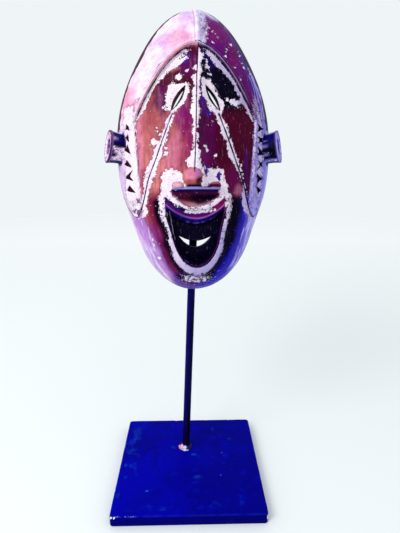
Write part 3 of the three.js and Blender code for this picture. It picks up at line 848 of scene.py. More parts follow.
TEAR_INNER = {
    -1: [(-72, 2), (-66, 6), (-60, 6.5), (-54, 4), (-46, 3.2), (-38, 3.8), (-30, 4.4), (-22, 4.8),
         (-14, 4.2), (-6, 3.5), (0, 4.2), (3, 2.6), (12, 2.3), (22, 2.1), (30, 2.3), (36, 2.2), (41, 0.8)],
    1: [(-70, 1), (-62, 6), (-54, 6.5), (-46, 5), (-38, 2.2), (-32, 0.4), (-22, 1.1), (-15, 1.9),
        (-9, 2.9), (-4, 5.2), (2, 4.8), (8, 3), (16, 2.8), (21, 5.2), (26, 3.8), (36, 4.2), (40, 2)],
}
TEAR_OUTER = {
    -1: [(-64, 0), (-58, 1.2), (-50, 1.7), (-44, 1.8), (-36, 2.4), (-30, 3.2), (-22, 4.2), (-14, 5.2),
         (-8, 5), (0, 3.6), (8, 3.2), (18, 2.4), (26, 1.5), (34, 2.6), (40, 1.5), (43, 0)],
    1: [(-50, 0.6), (-42, 0.8), (-34, 0.4), (-24, 0.9), (-16, 1.6), (-10, 1.6), (-2, 1.5), (4, 1.9),
        (10, 2.1), (16, 2.3), (24, 2.7), (30, 3.1), (36, 1.8), (40, 0.4)],
}
# Outlines of the wider chalk patches
CHALK_PATCHES = {
    "left_eye": [(-22.5, 72.5), (-15, 73.5), (-8.5, 73), (-6.5, 68), (-7, 61.5), (-10, 55), (-15, 49),
                 (-18.5, 47.5), (-19, 43.5), (-25.5, 43), (-28.5, 45.5), (-33, 46), (-36, 49),
                 (-34.5, 51.5), (-31.5, 53), (-31.5, 61), (-30, 65.5), (-29, 72), (-25.5, 74), (-24, 79),
                 (-22.7, 79)],
    "right_eye": [(5.5, 79), (8.5, 79.5), (12, 77), (15, 79.5), (16.5, 75.5), (20.5, 70), (22, 66.5),
                  (25.5, 61.5), (28, 57.5), (30.5, 53), (29.5, 47), (27.5, 42), (22, 40.5), (20, 43),
                  (15, 44.5), (12.5, 50), (10, 54.5), (6.5, 61.5), (6.5, 71.5)],
    "nose_left": [(-37, -22), (-33, -17.5), (-26, -15), (-23.5, -19), (-17, -20.5), (-13, -26),
                  (-11.5, -33), (-14, -37.5), (-26, -38.5), (-28, -45), (-33, -48), (-40, -44),
                  (-38, -36), (-36, -30), (-38.5, -26)],
    "nose_right": [(3, -21), (6.5, -12), (9, -17), (9, -23), (14, -16.5), (18.5, -18), (24, -15.5),
                   (27.5, -16.5), (31, -22), (31.5, -27), (36, -36), (31, -40), (29.5, -49), (25, -49),
                   (24.5, -39.5), (25, -33), (19, -30), (13.5, -32), (7.5, -36.5), (2.5, -35), (5, -31),
                   (4, -25)],
    "lip": [(-32, -50), (-25, -53), (-18, -56), (-7, -60.5), (3, -61), (12, -62), (21, -58.5), (26, -54),
            (30, -49), (25, -44.5), (22.5, -47), (14.5, -52.5), (6.5, -56), (-0.5, -58), (-9.5, -57),
            (-17, -52.5), (-23.5, -46.5), (-30, -44)],
    "side_left": [(-66, 42), (-65.5, 20), (-65, 0), (-64, -20), (-63, -44), (-66, -48), (-71, -30),
                  (-71, 0), (-70.5, 20), (-69, 34), (-66.5, 44)],
}
# Small flakes: x, z and radius
CHALK_DOTS = [
    (-17, 81, 3.2), (-45, 12.5, 3), (-43, 27, 0.9), (-41, 23, 1.2), (-38.5, 20, 1.3), (-33, 5, 1.2),
    (-32.5, -1, 1.4), (41, 56, 3.2), (46, 55, 3), (35, 58, 1.2), (12.5, 97, 1.1), (12.8, 91, 1.2),
    (15.5, 84, 1.4), (7.5, 104, 1.8), (50, -12, 0.9), (50.5, -18, 1.1), (-50, -94, 1.2),
    (-48.5, -99, 1.3), (-42, -115, 1.2), (20.5, 134, 0.3), (23, 131, 0.3), (26, 127.5, 0.4),
    (19.5, 119.5, 1.2), (34, 115, 0.6), (34.8, 111, 0.4), (34.5, 105, 0.5), (41, 122, 0.3),
    (38.5, 118, 0.2), (14, 123, 0.5), (43, 95, 0.4), (50.5, 82, 0.3), (16, 138, 0.4), (13, 130, 1),
    (-9, 87, 0.9), (-63, 60, 0.8), (9, 6, 0.7), (11, 2.5, 0.9), (20, -2, 0.6), (18, 33, 0.6),
    (-77, 50, 1.6), (-81, 40, 1.5), (62, 99, 0.6), (64, 93, 0.6), (56, 98, 0.5), (54, 102, 0.4),
    (50, 116, 0.4), (51, 111, 0.4),
]
# Places where the chalk is thin and broken: x, z, half width, half height and how much is left
THIN_CHALK = [
    (-28, -27, 16, 14, 1.5), (-22, 60, 17, 19, 1.5), (-36, -60, 7, 18, 0.6), (20, 56, 14, 20, 1.6),
    (-4, 60, 6, 34, 1.6), (0, -59, 15, 4.5, 0.3), (35, -57, 7, 17, 0.1), (-66, -60, 10, 14, -0.9),
    (66, -58, 10, 14, -0.5), (58, -46, 5, 14, 0.5), (0, -135, 18, 5, 0.3), (-13, 104, 11, 8, 0.6),
    (12, 92, 7, 18, 0.7), (-31, -50, 7, 12, 0.9), (-29, -92, 6, 26, 1.0), (30, -92, 7, 28, 0.8),
    (-34, 92, 12, 10, 0.9), (28, -24, 10, 12, 1.0), (-72, 10, 9, 60, 1.6), (13, 50, 5, 10, 0.6),
    (-33, 48, 6, 6, 0.7), (-52, -20, 6, 26, 1.0), (50, -14, 6, 24, 0.8),
]
# Chalk broken into flakes: x, z, half width, half height and how dense it lies in the middle
FLAKED_CHALK = [
    (1, -141, 26, 9, 0.1), (-1, -61.5, 17, 4.2, 1.3), (14, -60, 10, 3.4, 0.8), (-19, -55.5, 8, 3.4, 0.1),
    (-33, -64, 3, 8, 0.2),
]
# Crumbly places: patches of x, z, half width, half height and how thick the chalk lies there
CRUMBS = [
    (0, -141, 27, 11, 0.5), (34.5, -56, 4.5, 14, 0.7), (-58, -62, 6, 7, 0.7), (59, -60, 6, 9, 0.75),
    (-74, -46, 9, 20, 0.8), (72, -50, 9, 18, 0.55), (10, 140, 6, 24, 0.75), (-20, 101, 9, 5, 0.6),
    (75, 10, 7, 40, 0.5), (70, 52, 7, 16, 0.7), (8, 88, 4, 6, 0.5), (-14, -42, 10, 2, 0.3),
]


def height_width(z, pairs):
    heights, widths = zip(*pairs)
    return np.interp(z, heights, widths, left=-8, right=-8)


def tear_place(z):
    """How far out the straight part of a tear line runs at each height."""
    straight = [(px, pz) for px, pz in TEAR_LINE if px < 66][::-1]
    return np.interp(z, [pz for _, pz in straight], [px for px, _ in straight])


def eye_distance(x, z, side):
    """Distance from an eye's almond outline, positive inside it."""
    ring = eye_ring(side, EYE["half"] * 1.02, EYE["open"], 14)
    return signed(x, z, [(side * EYE["x"] + px, EYE["z"] + pz) for px, pz in ring])


def chalk_field(x, z, f):
    """How deep each point lies in the chalk, in mm."""
    chalk = np.full(len(x), -12.0)
    in_panel = f["panel"] > -0.3
    below_arch = (z < ARCH_TOP) & in_panel
    place = tear_place(z)
    for side in (-1, 1):
        here = (np.sign(x) == side) & in_panel
        field = height_width(z, ARCH_CHALK[side]) - f["arch"] + 0.4
        chalk = np.where(here, np.maximum(chalk, field), chalk)
        here = (np.sign(f["k"]) == side) & below_arch
        field = height_width(z, KEEL_CHALK[side]) + 0.7 - np.abs(f["k"])
        chalk = np.where(here, np.maximum(chalk, field), chalk)
        for table, within in ((TEAR_INNER, True), (TEAR_OUTER, False)):
            here = (np.sign(x) == side) & ((np.abs(x) < place) == within) & (np.abs(x) < 72)
            field = height_width(z, table[side]) + 0.7 - f["tear"]
            chalk = np.where(here, np.maximum(chalk, field), chalk)
    for outline in CHALK_PATCHES.values():
        chalk = np.maximum(chalk, signed(x, z, outline))
    for px, pz, radius in CHALK_DOTS:
        chalk = np.maximum(chalk, radius + 0.3 - np.hypot(x - px, z - pz))
    # The mouth's band keeps nearly all its chalk
    outer_edge = f["band"] + 0.2 - np.where(x > 0, 1.4, 2.6) * bell(z + 84, 17)
    band = np.minimum(outer_edge, 0.9 - f["mouth"]) + 4 * np.minimum(0, (-44 - z) / 6)
    corner = stroke(x, z, [(31.5, -40, 2.6), (35.5, -50, 4.0), (36, -60, 3.2), (33.5, -72, 2.0)])
    band = np.where((x > 28) & (z > -70), np.maximum(np.minimum(band, -0.6), corner), band)
    chalk = np.maximum(chalk, band)
    # White between the notches beside the cheeks
    out = np.abs(x) - NOTCH_X
    between = np.minimum(6.0 - np.abs(out + 1), 4 - np.maximum(0, np.abs(z - 2) - 44) * 0.5)
    chalk = np.maximum(chalk, np.where(x < 0, between, between - 3.2))
    line = np.minimum(0.9 - np.abs(np.abs(x) - mix(68.6, 64.5, clamp01((40 - z) / 90))), (z + 46) / 4)
    chalk = np.maximum(chalk, np.where((x > 0) & (z < 40), line, -12))
    for ridge in NOTCH_RIDGES:
        chalk = np.maximum(chalk, 2.2 * stroke(x, z, ridge))
    # Uneven edges, and thin broken places
    chalk = chalk + 0.9 * lattice_noise(x, z, 4.2, 91) + 0.7 * lattice_noise(x, z, 1.9, 92)
    for px, pz, wide, high, left in THIN_CHALK:
        chalk = np.minimum(chalk, left + 9 * (1 - patch(x, z, px, pz, wide, high, 1.0)))
    return chalk


def chalk_tint_and_shade(x, z, f):
    """0 where the chalk is white with a pink cast, as lit, 1 where it is painted lavender as in shade: mostly
    on the right half and low on the band.
    """
    tint_and_shade = 0.3 * rise(x - 14, 50)
    tint_and_shade += 0.55 * patch(x, z, 40, 78, 30, 42) * (f["panel"] > 0) * (f["arch"] < 9)
    tint_and_shade += 0.7 * rise(x + 14, 24) * rise(-66 - z, 24) * (f["band"] > -3)
    tint_and_shade += 0.3 * (f["band"] > -3) * rise(-50 - z, 20) * (f["lip"] < 1)
    tint_and_shade += 0.4 * rise(-112 - z, 12) * (f["band"] > -12)
    tint_and_shade += 0.7 * smooth((np.abs(x - 66) - 30) / -8) * rise(-18 - z, 12)
    tint_and_shade += 0.5 * patch(x, z, 76, 20, 9, 60)
    tint_and_shade += 0.35 * patch(x, z, 10, 140, 12, 34)
    tint_and_shade -= 0.3 * patch(x, z, 20, -26, 20, 16)
    return clamp01(tint_and_shade)


# Soft ovals of stain, and dark ones high under the brow arch painted as its shade: colour, x, z, half width,
# half height, softness, strength, and how far the noise shifts them in x and in z
PANEL_RIGHT = [
    ("plum", 10, 20, 11, 52, 0.9, 0.75, 2, 3), ("crimson", 36, -28, 12, 14, 1.2, 0.4, 2, 0),
    ("plum", 42, -30, 9, 14, 1.2, 0.6, 2, 0), ("magenta", 9, -6, 6, 12, 1.2, 0.45, 1, 0),
    ("night", 35, 74, 25, 28, 0.5, 1, 2, 3), ("navy", 11, 98, 9, 16, 0.7, 0.95, 1, 2),
    ("night", 9, 84, 6, 14, 0.8, 0.85, 1, 0), ("violet", 7.5, 58, 3, 16, 1, 0.75, 1, 0),
    ("violet", 13.5, 42, 4, 3.5, 0.9, 0.9, 0, 0), ("violet", 57, -14, 3, 24, 1, 0.25, 1, 0),
    ("violet", 10.5, -19, 3.2, 6, 0.6, 1, 0, 0), ("violet", 24, -23.5, 3, 6, 0.6, 1, 0, 0),
    ("rose", 47, -40, 5, 6, 1.3, 0.4, 1, 1),
]
PANEL_LEFT = [
    ("brick", -30, 26, 13, 26, 1.3, 0.75, 2, 4), ("brick", -50, 58, 8, 26, 1, 0.8, 2, 3),
    ("maroon", -40, 66, 8, 20, 1, 0.75, 2, 2), ("plum", -35.5, 60, 6, 20, 0.8, 0.95, 1, 2),
    ("maroon", -30, 80, 13, 10, 0.8, 0.95, 2, 1), ("maroon", -13, 80, 14, 12, 0.6, 1, 2, 2),
    ("maroon", -4, 64, 4.5, 22, 0.8, 0.95, 0, 2), ("plum", -6, 98, 12, 17, 0.6, 1, 0, 2),
    ("maroon", -5, 109, 9, 7, 0.8, 0.9, 0, 0), ("violet", -13, 103, 7, 7, 0.7, 0.9, 1, 2),
    ("magenta", -13, 34, 8, 22, 1.1, 0.95, 2, 4), ("plum", -8, 38, 5, 16, 1.1, 0.6, 1, 3),
    ("crimson", -9, 4, 10, 26, 1.1, 0.75, 1, 4), ("magenta", -5, 8, 4, 30, 1.2, 0.6, 0, 0),
    ("rose", -24, -2, 10, 18, 1.3, 0.4, 2, 3), ("crimson", -14, -8, 8, 14, 1.2, 0.4, 2, 3),
    ("rose", -62, 10, 4, 44, 1.2, 0.5, 1, 0), ("crimson", -58, -28, 4, 12, 1, 0.6, 0, 3),
    ("brick", -46, -52, 7, 12, 1.2, 0.8, 1, 2), ("crimson", -41, -54, 5, 12, 1, 0.6, 1, 2),
]
HOOD_LEFT = [
    ("rose", -21, 126, 13, 9, 1.2, 0.5, 3, 3), ("lilac", -10, 148, 6, 18, 1.2, 0.35, 2, 4),
    ("rose", -56, 102, 10, 12, 1.3, 0.4, 4, 4), ("rose", -78, 60, 8, 15, 1.3, 0.65, 3, 4),
    ("lilac", -46, 122, 12, 14, 1.4, 0.3, 3, 0), ("lilac", -86, -30, 9, 46, 1.2, 0.55, 0, 0),
    ("rose", -74, 66, 16, 24, 1.5, 0.65, 3, 4),
]
HOOD_RIGHT = [
    ("magenta", 24, 134, 12, 14, 1.2, 0.7, 3, 3), ("crimson", 44, 110, 7, 18, 1.3, 0.4, 3, 4),
    ("plum", 62, 70, 8, 30, 1.2, 0.6, 2, 0),
]
# Spots of the stain beside the nose that stay free of chalk: x, z, half width, half height
BARE_SPOTS = [(10.5, -19, 2.4, 5), (24, -23.5, 2.3, 5)]


def ovals(x, z, n, table):
    """Layers of colour from a table of soft ovals."""
    return [
        (name, patch(x, z, px + dx * n, pz + dz * n, wide, high, edge) * strength)
        for name, px, pz, wide, high, edge, strength, dx, dz in table
    ]


def panel_colour(x, z, left, n):
    """Bare stained wood of the face, painted lighter on the left as lit and darker on the right as in shade.
    """
    drips = lattice_noise(x, z * 0.16, 2.6, 93) + 0.6 * lattice_noise(x, z * 0.12, 1.2, 94)
    lit_half = washes(plain("salmon", x), [
        ("brick", patch(x, z, -50 + 3 * n, 38 + 3 * n, 13, 34, 1.3) * 0.5),
        ("brick", rise(n - 0.15, 0.6) * 0.3),
        *ovals(x, z, n, PANEL_LEFT),
        ("plum", rise(drips - 0.25, 0.6) * 0.28),
        ("flesh", rise(-0.35 - drips, 0.6) * 0.12),
    ])
    shaded_half = washes(plain("maroon", x), ovals(x, z, n, PANEL_RIGHT))
    return blend(lit_half, wash(shaded_half, "night", rise(drips - 0.2, 0.7) * 0.35), left)


def jaw_colour(x, z, f, n):
    """Below the panel: dark beside the mouth, with dark stain and painted shade in the cove there, paler
    towards the rim, painted warm and light on the left as lit and blue on the right as in shade.
    """
    out = -f["band"]
    chin = rise(-130 - z, 10)
    low = 6 * rise(-92 - z, 22)
    along = np.degrees(np.arctan2(x, -(z + 40))) * 0.12
    brush = two_noises(out, along, (1.8, 0.9), 95, 0.6)
    streaks = rise(brush - 0.2, 0.6) * rise(out - 8, 8) * 0.6
    lit_half = washes(plain("blush", x), [
        ("lilac", smooth((mix(34, 42, rise(z + 100, 25)) + 2 * n - out) / 12) * 0.95),
        ("shell", rise(-88 - z, 20) * rise(out - 16, 10) * 0.55),
        ("magenta", smooth((mix(16, 23, rise(z + 105, 25)) + 1.5 * n - out) / 8) * 0.85),
        ("brick", patch(x, z, -50 + n, -62, 9, 14, 1.0) * 0.85),
        ("crimson", rise(14 + n - out, 6) * mix(0.35, 0.8, rise(z + 95, 25))),
        ("plum", rise(16 + n - out, 6) * rise(-85 - z, 15) * 0.6),
        ("maroon", rise(8 + n - out, 3.5) * 0.95),
        ("night", rise(5.4 + 1.2 * n - out, 2.2)),
        ("lilac", streaks),
        ("chalk_warm", rise(-0.4 - brush, 0.35) * rise(out - 14, 8) * 0.75),
        ("shell", rise(f["t"] - 0.93, 0.03) * 0.5),
        ("violet", chin * rise(x + 34, 12) * 0.85),
        ("night", chin * rise(15 - out, 5)),
    ])
    shaded_half = washes(plain("pale_blue", x), [
        ("iris", rise(32 + 2 * n - out, 9) * 0.9),
        ("blue", rise(25 + 2 * n - out, 8) * 0.95),
        ("navy", rise(18 - low + 1.5 * n - out, 6)),
        ("night", rise(13.5 - low + 1.5 * n - out, 5)),
        ("blue", streaks),
        ("shell", rise(-0.3 - brush, 0.35) * rise(out - 16, 8) * 0.8),
        ("night", chin * rise(12 - out, 5)),
    ])
    return blend(lit_half, shaded_half, smooth(0.5 - (x + 3 * n) / 18))


def hood_colour(x, z, f, left, n):
    """Forehead and the two lobes beside the face, painted pale on the left as lit and purple on the right as
    in shade.
    """
    bead = f["arch"]
    low = rise(44 + 5 * n - z, 14)
    above = rise(z - ARCH_TOP, 6)
    angle = np.arctan2(x, z - 20)
    fan = lattice_noise(angle * 24, np.hypot(x, z - 20) * 0.14, 1.6, 97)
    dashes = lattice_noise(f["t"] * 90, angle * 12, 1.5, 101)
    smudge = two_noises(x, z, (3.4, 1.6), 89, 0.6)
    flecks = lattice_noise(x, z, 2.0, 98)
    lit_half = washes(plain("chalk_warm", x), [
        *ovals(x, z, n, HOOD_LEFT),
        ("rose", rise(32 - np.abs(x + 66), 20) * patch(x, z, -62 + 4 * n, 84, 22, 30, 1.6) * 0.3),
        ("blush", patch(x, z, -30, 130, 34, 36, 1.6) * 0.3),
        ("lilac", rise(f["t"] - 0.90 - 0.03 * n, 0.05) * rise(10 - z, 30) * 0.6),
        ("lilac", rise(fan - 0.1, 0.7) * rise(z - 60, 30) * 0.35),
        ("chalk_warm", rise(-0.2 - fan, 0.6) * 0.5),
        ("chalk_warm", patch(x, z, -58 + 4 * n, 92 + 6 * n, 12, 30, 1.2) * 0.8),
        ("rose", patch(x, z, -16 + 3 * n, 124 + 3 * n, 12, 14, 1.5) * 0.5),
        ("rose", bell(bead - 2.2, 1.5) * rise(z - 84, 14) * 0.7),
        ("salmon", bell(bead - 1.6, 1.1) * rise(z - 40, 14) * 0.5),
        ("brick", bell(bead - 1.0, 0.8) * rise(z - 40, 14) * 0.4),
        ("plum", bell(bead - 3.6, 0.35) * rise(z - 60, 20) * 0.7),
        ("chalk_warm", low * 0.35),
        ("plum", low * patch(x, z, -67, -57, 8, 13, 0.8) * smooth(smudge / 0.4) * 0.9),
        ("chalk_warm", bell(f["k"] + 1.2, 2.2) * above * 0.9),
        ("plum", bell(f["k"] + 3.2, 0.55) * above * 0.5),
        ("plum", bell(f["k"] - 0.8, 0.55) * above * 0.5),
    ])
    shaded_half = washes(plain("purple", x), [
        *ovals(x, z, n, HOOD_RIGHT),
        # On the right, the groove beside the arch line is painted dark as its shade, and a line on the bead
        # is painted as its highlight
        ("night", bell(bead - 1.0, 1.6) * 0.8),
        ("lilac", rise(-0.55 - fan, 0.3) * 0.2),
        ("plum", rise(fan - 0.1, 0.7) * 0.5),
        ("shell", bell(bead - 2.1, 0.45) * rise(z - 50, 20) * 0.5),
        ("violet", rise(f["t"] - 0.74 - 0.04 * n, 0.10) * 0.7),
        ("pale_blue", rise(dashes - 0.15, 0.4) * rise(f["t"] - 0.74, 0.08) * 0.8),
        ("pale_blue", rise(f["t"] - 0.87 - 0.05 * n, 0.05) * 0.85),
        ("shell", rise(f["t"] - 0.82, 0.06) * rise(z - 112 - 6 * n, 16) * 0.6),
        ("shell", rise(10.5 + 3 * n - f["k"], 4) * rise(z - 112, 6) * 0.85),
        ("shell", rise(z - 150 - 5 * n, 10) * 0.9),
        ("pale_blue", low * 0.95),
        ("iris", low * patch(x, z, 80 + 2 * n, 10, 5, 60, 1.2) * 0.5),
        ("navy", low * patch(x, z, 74, -2, 8, 44, 0.6) * rise(smudge - 0.35, 0.3) * 0.7),
        ("violet", low * patch(x, z, 68, -52, 9, 16, 0.8) * rise(smudge - 0.05, 0.4) * 0.8),
        ("shell", bell(f["k"] - 1.5, 2.0) * above * 0.9),
        ("violet", bell(f["k"] - 6, 2.6) * rise(z - 118, 10) * rise(flecks - 0.05, 0.3) * 0.8),
    ])
    return blend(lit_half, shaded_half, left)


def mouth_colour(c, x, z, f, n):
    """Scoop, lip steps and recess, with painted shade and painted highlights on them."""
    scoop = scoop_floor(x, z) < 900
    shade = stroke(x, z, [(-24, -41, 2.5), (-17, -43.5, 4.5), (2, -47, 7), (14, -45.5, 5.5), (23, -42, 3)])
    lip = step(f["lip"], 1.2)
    upper = rise(-3 - f["lip_line"], 3)
    inner_edge_highlight = stroke(x, z, [(-29.3, -62, 0.5), (-27.6, -74, 0.6), (-25.4, -86, 0.5), (-23.6, -93, 0.2)])
    dash = rise(lattice_noise(x, z * 0.2, 2.2, 99) + 0.1, 0.3)
    lit = rise(-66 - z, 3) * rise(22 - np.abs(x - 6), 6) * rise(z + 86, 4)
    # Painted shade: the scoop's upper part and under the ledge, the lip's face, below the lip line and the
    # whole recess. Painted highlights: the lip line, the inner edge stroke and the dashed lines on the
    # recess's edges
    return washes(c, [
        ("flesh", scoop * 0.95),
        ("brick", scoop * rise(4 - x, 18) * 0.7),
        ("plum", scoop * 0.25),
        ("chalk_warm", scoop * rise(x - 8, 10) * rise(-46 - z, 4) * 0.6),
        ("maroon", scoop * smooth(0.5 + (shade + 1.0 + n) / 4) * 0.95),
        ("night", scoop * smooth(0.5 + (shade - 1.2 + n) / 3) * rise(x + 12, 10) * 0.9),
        ("plum", scoop * rise(z + 44.5, 2.5) * 0.8),
        ("navy", scoop * rise(z + 41.5, 1.5) * 0.95),
        ("purple", lip),
        ("navy", lip * smooth(-x / 14) * mix(0.5, 0.95, upper)),
        ("night", lip * rise(-6 - x, 10) * 0.35 * upper),
        ("crimson", lip * rise(x - 12, 9) * 0.7),
        ("lilac", lip * bell(f["lip_line"] + 0.3, 0.6) * mix(0.5, 0.8, rise(x + 20, 16))),
        ("navy", step(f["lip_line"] - 0.9, 1.2)),
        ("night", step(f["recess"] - 0.6, 1.6) * 0.96),
        ("shell", rise(inner_edge_highlight + 0.2 * n + 0.1, 0.5) * (f["lip"] > -0.5) * 0.85),
        ("iris", bell(f["recess"] - 0.4, 0.5) * lit * dash * 0.9),
        ("iris", bell(f["recess"] - 1.0, 0.6) * rise(-112 - z, 5) * dash * 0.7),
    ])


def wood_colour(x, z, f):
    """Stain of the wood over the whole front, with its painted light and shade, before chalk and cut lines.
    """
    # Share of the left half, painted as lit, against the right half, painted as in shade
    left = smooth(0.5 - f["k"] / 1.4)
    n = two_noises(x, z, (9, 4), 31)
    c = panel_colour(x, z, left, n)
    c = blend(jaw_colour(x, z, f, n), c, rise(-40 - z, 12) * step(-f["hood"], 2.0))
    c = blend(hood_colour(x, z, f, left, n), c, step(f["hood"], 1.4))
    return mouth_colour(c, x, z, f, n)


def hollow_colour(x, z, depth):
    """Bare wood of the back and the hollow, painted darker deeper inside as shade, with worn and dark tool
    marks.
    """
    marks = two_noises(x, z * 0.6, (11, 4), 21)
    return washes(plain("raw_wood", x), [
        ("deep_hollow_shade", smooth(depth / 38) * 0.85),
        ("worn_wood", rise(marks - 0.1, 0.9) * 0.5 + rise(1.5 - depth, 1.2) * 0.4),
        ("night", rise(-0.3 - marks, 0.7) * 0.45),
    ])


def ear_colour(points, side):
    """Which points belong to an ear, their colours, and how deep they lie in its chalk."""
    on_left = side < 0
    # The left ear is painted warm and pale as lit, the right one pale blue as in shade
    main, mottle, deep = ("blush", "lilac", "plum") if on_left else ("pale_blue", "iris", "violet")
    axis = ear_axis(side)
    q = points - np.array([side * EAR["x"], -EAR["depth"], EAR["z"]])
    s = q @ axis
    off = q - s[:, None] * axis
    r = np.linalg.norm(off, axis=1)
    up = off[:, 2] / np.maximum(r, 1e-3)
    forward = -off[:, 1] / np.maximum(r, 1e-3)
    outside = np.abs(points[:, 0]) - rim_half(points[:, 2])
    buried = front_depth(points[:, 0], points[:, 2]) + points[:, 1]
    belongs = (r < EAR["radius"] * 1.06) & (s > -20) & ((buried < -0.8) | (outside > 0.4))
    n = lattice_noise(points[:, 1] * 1.5, points[:, 2], 6, 41 + side)
    tube = rise(-2.2 - s, 1.0)
    disc = rise(s + 1.55, 0.4) * rise(r - 8.9, 0.5)
    edge = bell(s + 1.7, 1.1) * rise(r - 15, 2)
    hub = rise(9.4 - r, 0.5)
    glint = tube * bell(up - 0.90, 0.05) * rise(n + 0.3, 0.3)
    if on_left:
        dark = rise(up + 0.12 + 0.12 * n, 0.12) * rise(0.9 + 0.05 * n - up, 0.06)
        # Painted shadow under the disc's rim, along the tube
        shadow_wedge = rise(8.0 - 13 * (up + 0.55) + s, 1.5) * rise(up + 0.72, 0.08)
        dark = np.maximum(dark, shadow_wedge * rise(0.1 - up, 0.1))
        dark = np.maximum(dark, rise(-0.86 - up, 0.05))
        glint = np.maximum(glint, tube * bell(up - 0.42, 0.10) * bell(s + 5.0, 1.2))
        ring = [
            ("rose", disc * bell(forward - 0.7, 0.5) * rise(up - 0.1, 0.4) * 0.4),
            (deep, disc * rise(r - 17.0, 0.6) * 0.9),
            ("navy", disc * rise(r - 17.6, 0.6) * rise(0.5 - up, 0.5) * 0.8),
        ]
    else:
        dark = rise(0.86 + 0.06 * n - up, 0.08) * rise(up + 0.84, 0.06)
        dark = np.maximum(dark * rise(19 + 3 * n + s, 2), rise(-0.93 - up, 0.03))
        ring = [(deep, disc * bell(r - 17.6, 0.8) * 0.85)]
    # The back of the tube, facing away, is painted dark as in shade
    dark = np.maximum(tube * dark, tube * smooth(-forward / 0.3) * 0.9)
    c = washes(plain(main, r), [
        (mottle, tube * (0.5 + 0.5 * n) * 0.7),
        ("navy", dark),
        ("night", dark * rise(0.30 - up + 0.2 * n, 0.4) * rise(up + 0.8, 0.1)),
        ("shell", glint * 1.4),
        ("navy", edge),
        (main, disc),
        (mottle, disc * rise(n + 0.1, 0.5) * 0.6),
        *ring,
        (deep, hub * rise(s + 12, 2)),
        ("lilac", hub * rise(n - 0.2, 0.3) * 0.7),
    ])
    disc_chalk, tube_chalk = (0.2, 0.4) if on_left else (-0.4, -0.6)
    chalk = np.where(disc > 0.5, np.where(r > 16.6, -3.0, disc_chalk), tube_chalk)
    return belongs, c, np.where(np.maximum(np.maximum(dark, edge), hub) > 0.3, -5.0, chalk)


def cut_field(x, z, f, n):
    """Dark lines along the cuts and edges, painted as the shade in them over dark wood: half widths in mm
    less the distance from each.
    """
    arch_right = (x > 0) & (f["hood"] > 0) & (z > ARCH_FOOT + 8)
    arch_left = (x < 0) & (f["hood"] > 0) & (z > ARCH_FOOT + 12) & (z < 100)
    lines = [
        np.where(x > 0, 0.9, 0.7) + 0.2 * n - f["tear"],
        np.where((x < 0) & (z < 34) & (z > -46), 0.35 + 0.3 * n - np.abs(f["panel"] - 0.3), NO_LINE),
        0.55 + 0.3 * n - f["arch"] - 3 * rise(ARCH_FOOT + 3 - z, 6),
        np.where(arch_right, 0.6 + 0.3 * n - np.abs(f["arch"] - 3.2), NO_LINE),
        np.where(arch_left, 0.3 + 0.5 * n - np.abs(f["arch"] - 5.8), NO_LINE),
        np.where((z < ARCH_TOP + 1) & (z > -21), 0.7 - np.abs(f["k"]), NO_LINE),
        0.85 - np.abs(eye_distance(x, z, -1) - 0.5),
        0.85 - np.abs(eye_distance(x, z, 1) - 0.5),
        notch_depth(x, z) * 1.1 - 0.45,
        np.where((f["lip"] > -1.5) & (z < -64), 0.6 - np.abs(f["lip"] + 0.1), NO_LINE),
    ]
    return np.maximum.reduce(lines)


def rim_field(x, z, f, facing, n):
    """Dark edge of the rim round the upper half, where the surface turns away from the front, a little wider
    on the right.
    """
    limit = 0.455 + 0.03 * n + 0.12 * rise(z - 75, 45)
    limit += 0.06 * rise(x - 20, 40) * rise(130 - z, 30)
    return rise(limit - facing, 0.09) * rise(z - 25, 4) * (f["t"] > 0.7)


def paint_nose(colour, chalk, x, z):
    """Bare tip and wings of the nose, painted lit on the left and shaded on the right, the painted shadow
    beneath them and the painted highlight on the ledge.
    """
    rough = lattice_noise(x, z, 3.0, 52)
    tip = patch(x + rough, z + rough, -4.5, -26.5, 10, 9.5, 0.35)
    shadow_beneath = bell(z + 35.2, 2.0) * rise(9 - np.abs(x + 3), 3) + bell(z + 37.4, 0.9) * (np.abs(x) < 25)
    # Tip: a painted highlight up on the left, painted shade low on the right, and the painted shadow under
    # the tip and the ledge
    layers = [
        ("salmon", tip * 0.9),
        ("rose", tip * patch(x, z, -6, -24, 6, 7, 1.2) * 0.55),
        ("lilac", tip * patch(x, z, 1, -22, 3.0, 6, 1.0) * 0.6),
        ("maroon", tip * patch(x, z, 4, -31, 6, 5, 0.9)),
        ("brick", tip * patch(x, z, -8, -32, 6, 3.5, 1.0) * 0.8),
        ("night", shadow_beneath * 1.2),
    ]
    bare = tip
    # Wings: the left painted pale as lit, the right dark as in shade, each with a painted highlight on top
    # and painted shade below
    for side, name in ((-1, "flesh"), (1, "maroon")):
        wing = patch(x, z, side * NOSTRIL["x"], NOSTRIL["z"], 6.2, 4.0, 0.3)
        layers += [
            (name, wing),
            ("rose", wing * bell(z - NOSTRIL["z"] - 2.8, 1.0) * 0.6),
            ("night", wing * rise(NOSTRIL["z"] - 1.2 - z, 1.6)),
        ]
        bare = np.maximum(bare, wing)
    colour = washes(colour, layers)
    chalk = np.where(bare > 0.4, -3, chalk)
    for px, pz, wide, high in BARE_SPOTS:
        chalk = np.minimum(chalk, np.hypot((x - px) / wide, (z - pz) / high) * 3 - 3.2)
    # The ledge's top is painted pale lavender as its highlight
    ledge = (z < LEDGE["top"] + 0.5) & (z > LEDGE["bottom"] + 0.4) & (np.abs(x) < LEDGE["half"] - 0.5)
    colour[ledge] = linear("ledge")
    chalk[ledge | (shadow_beneath > 0.4)] = -6
    return colour, chalk


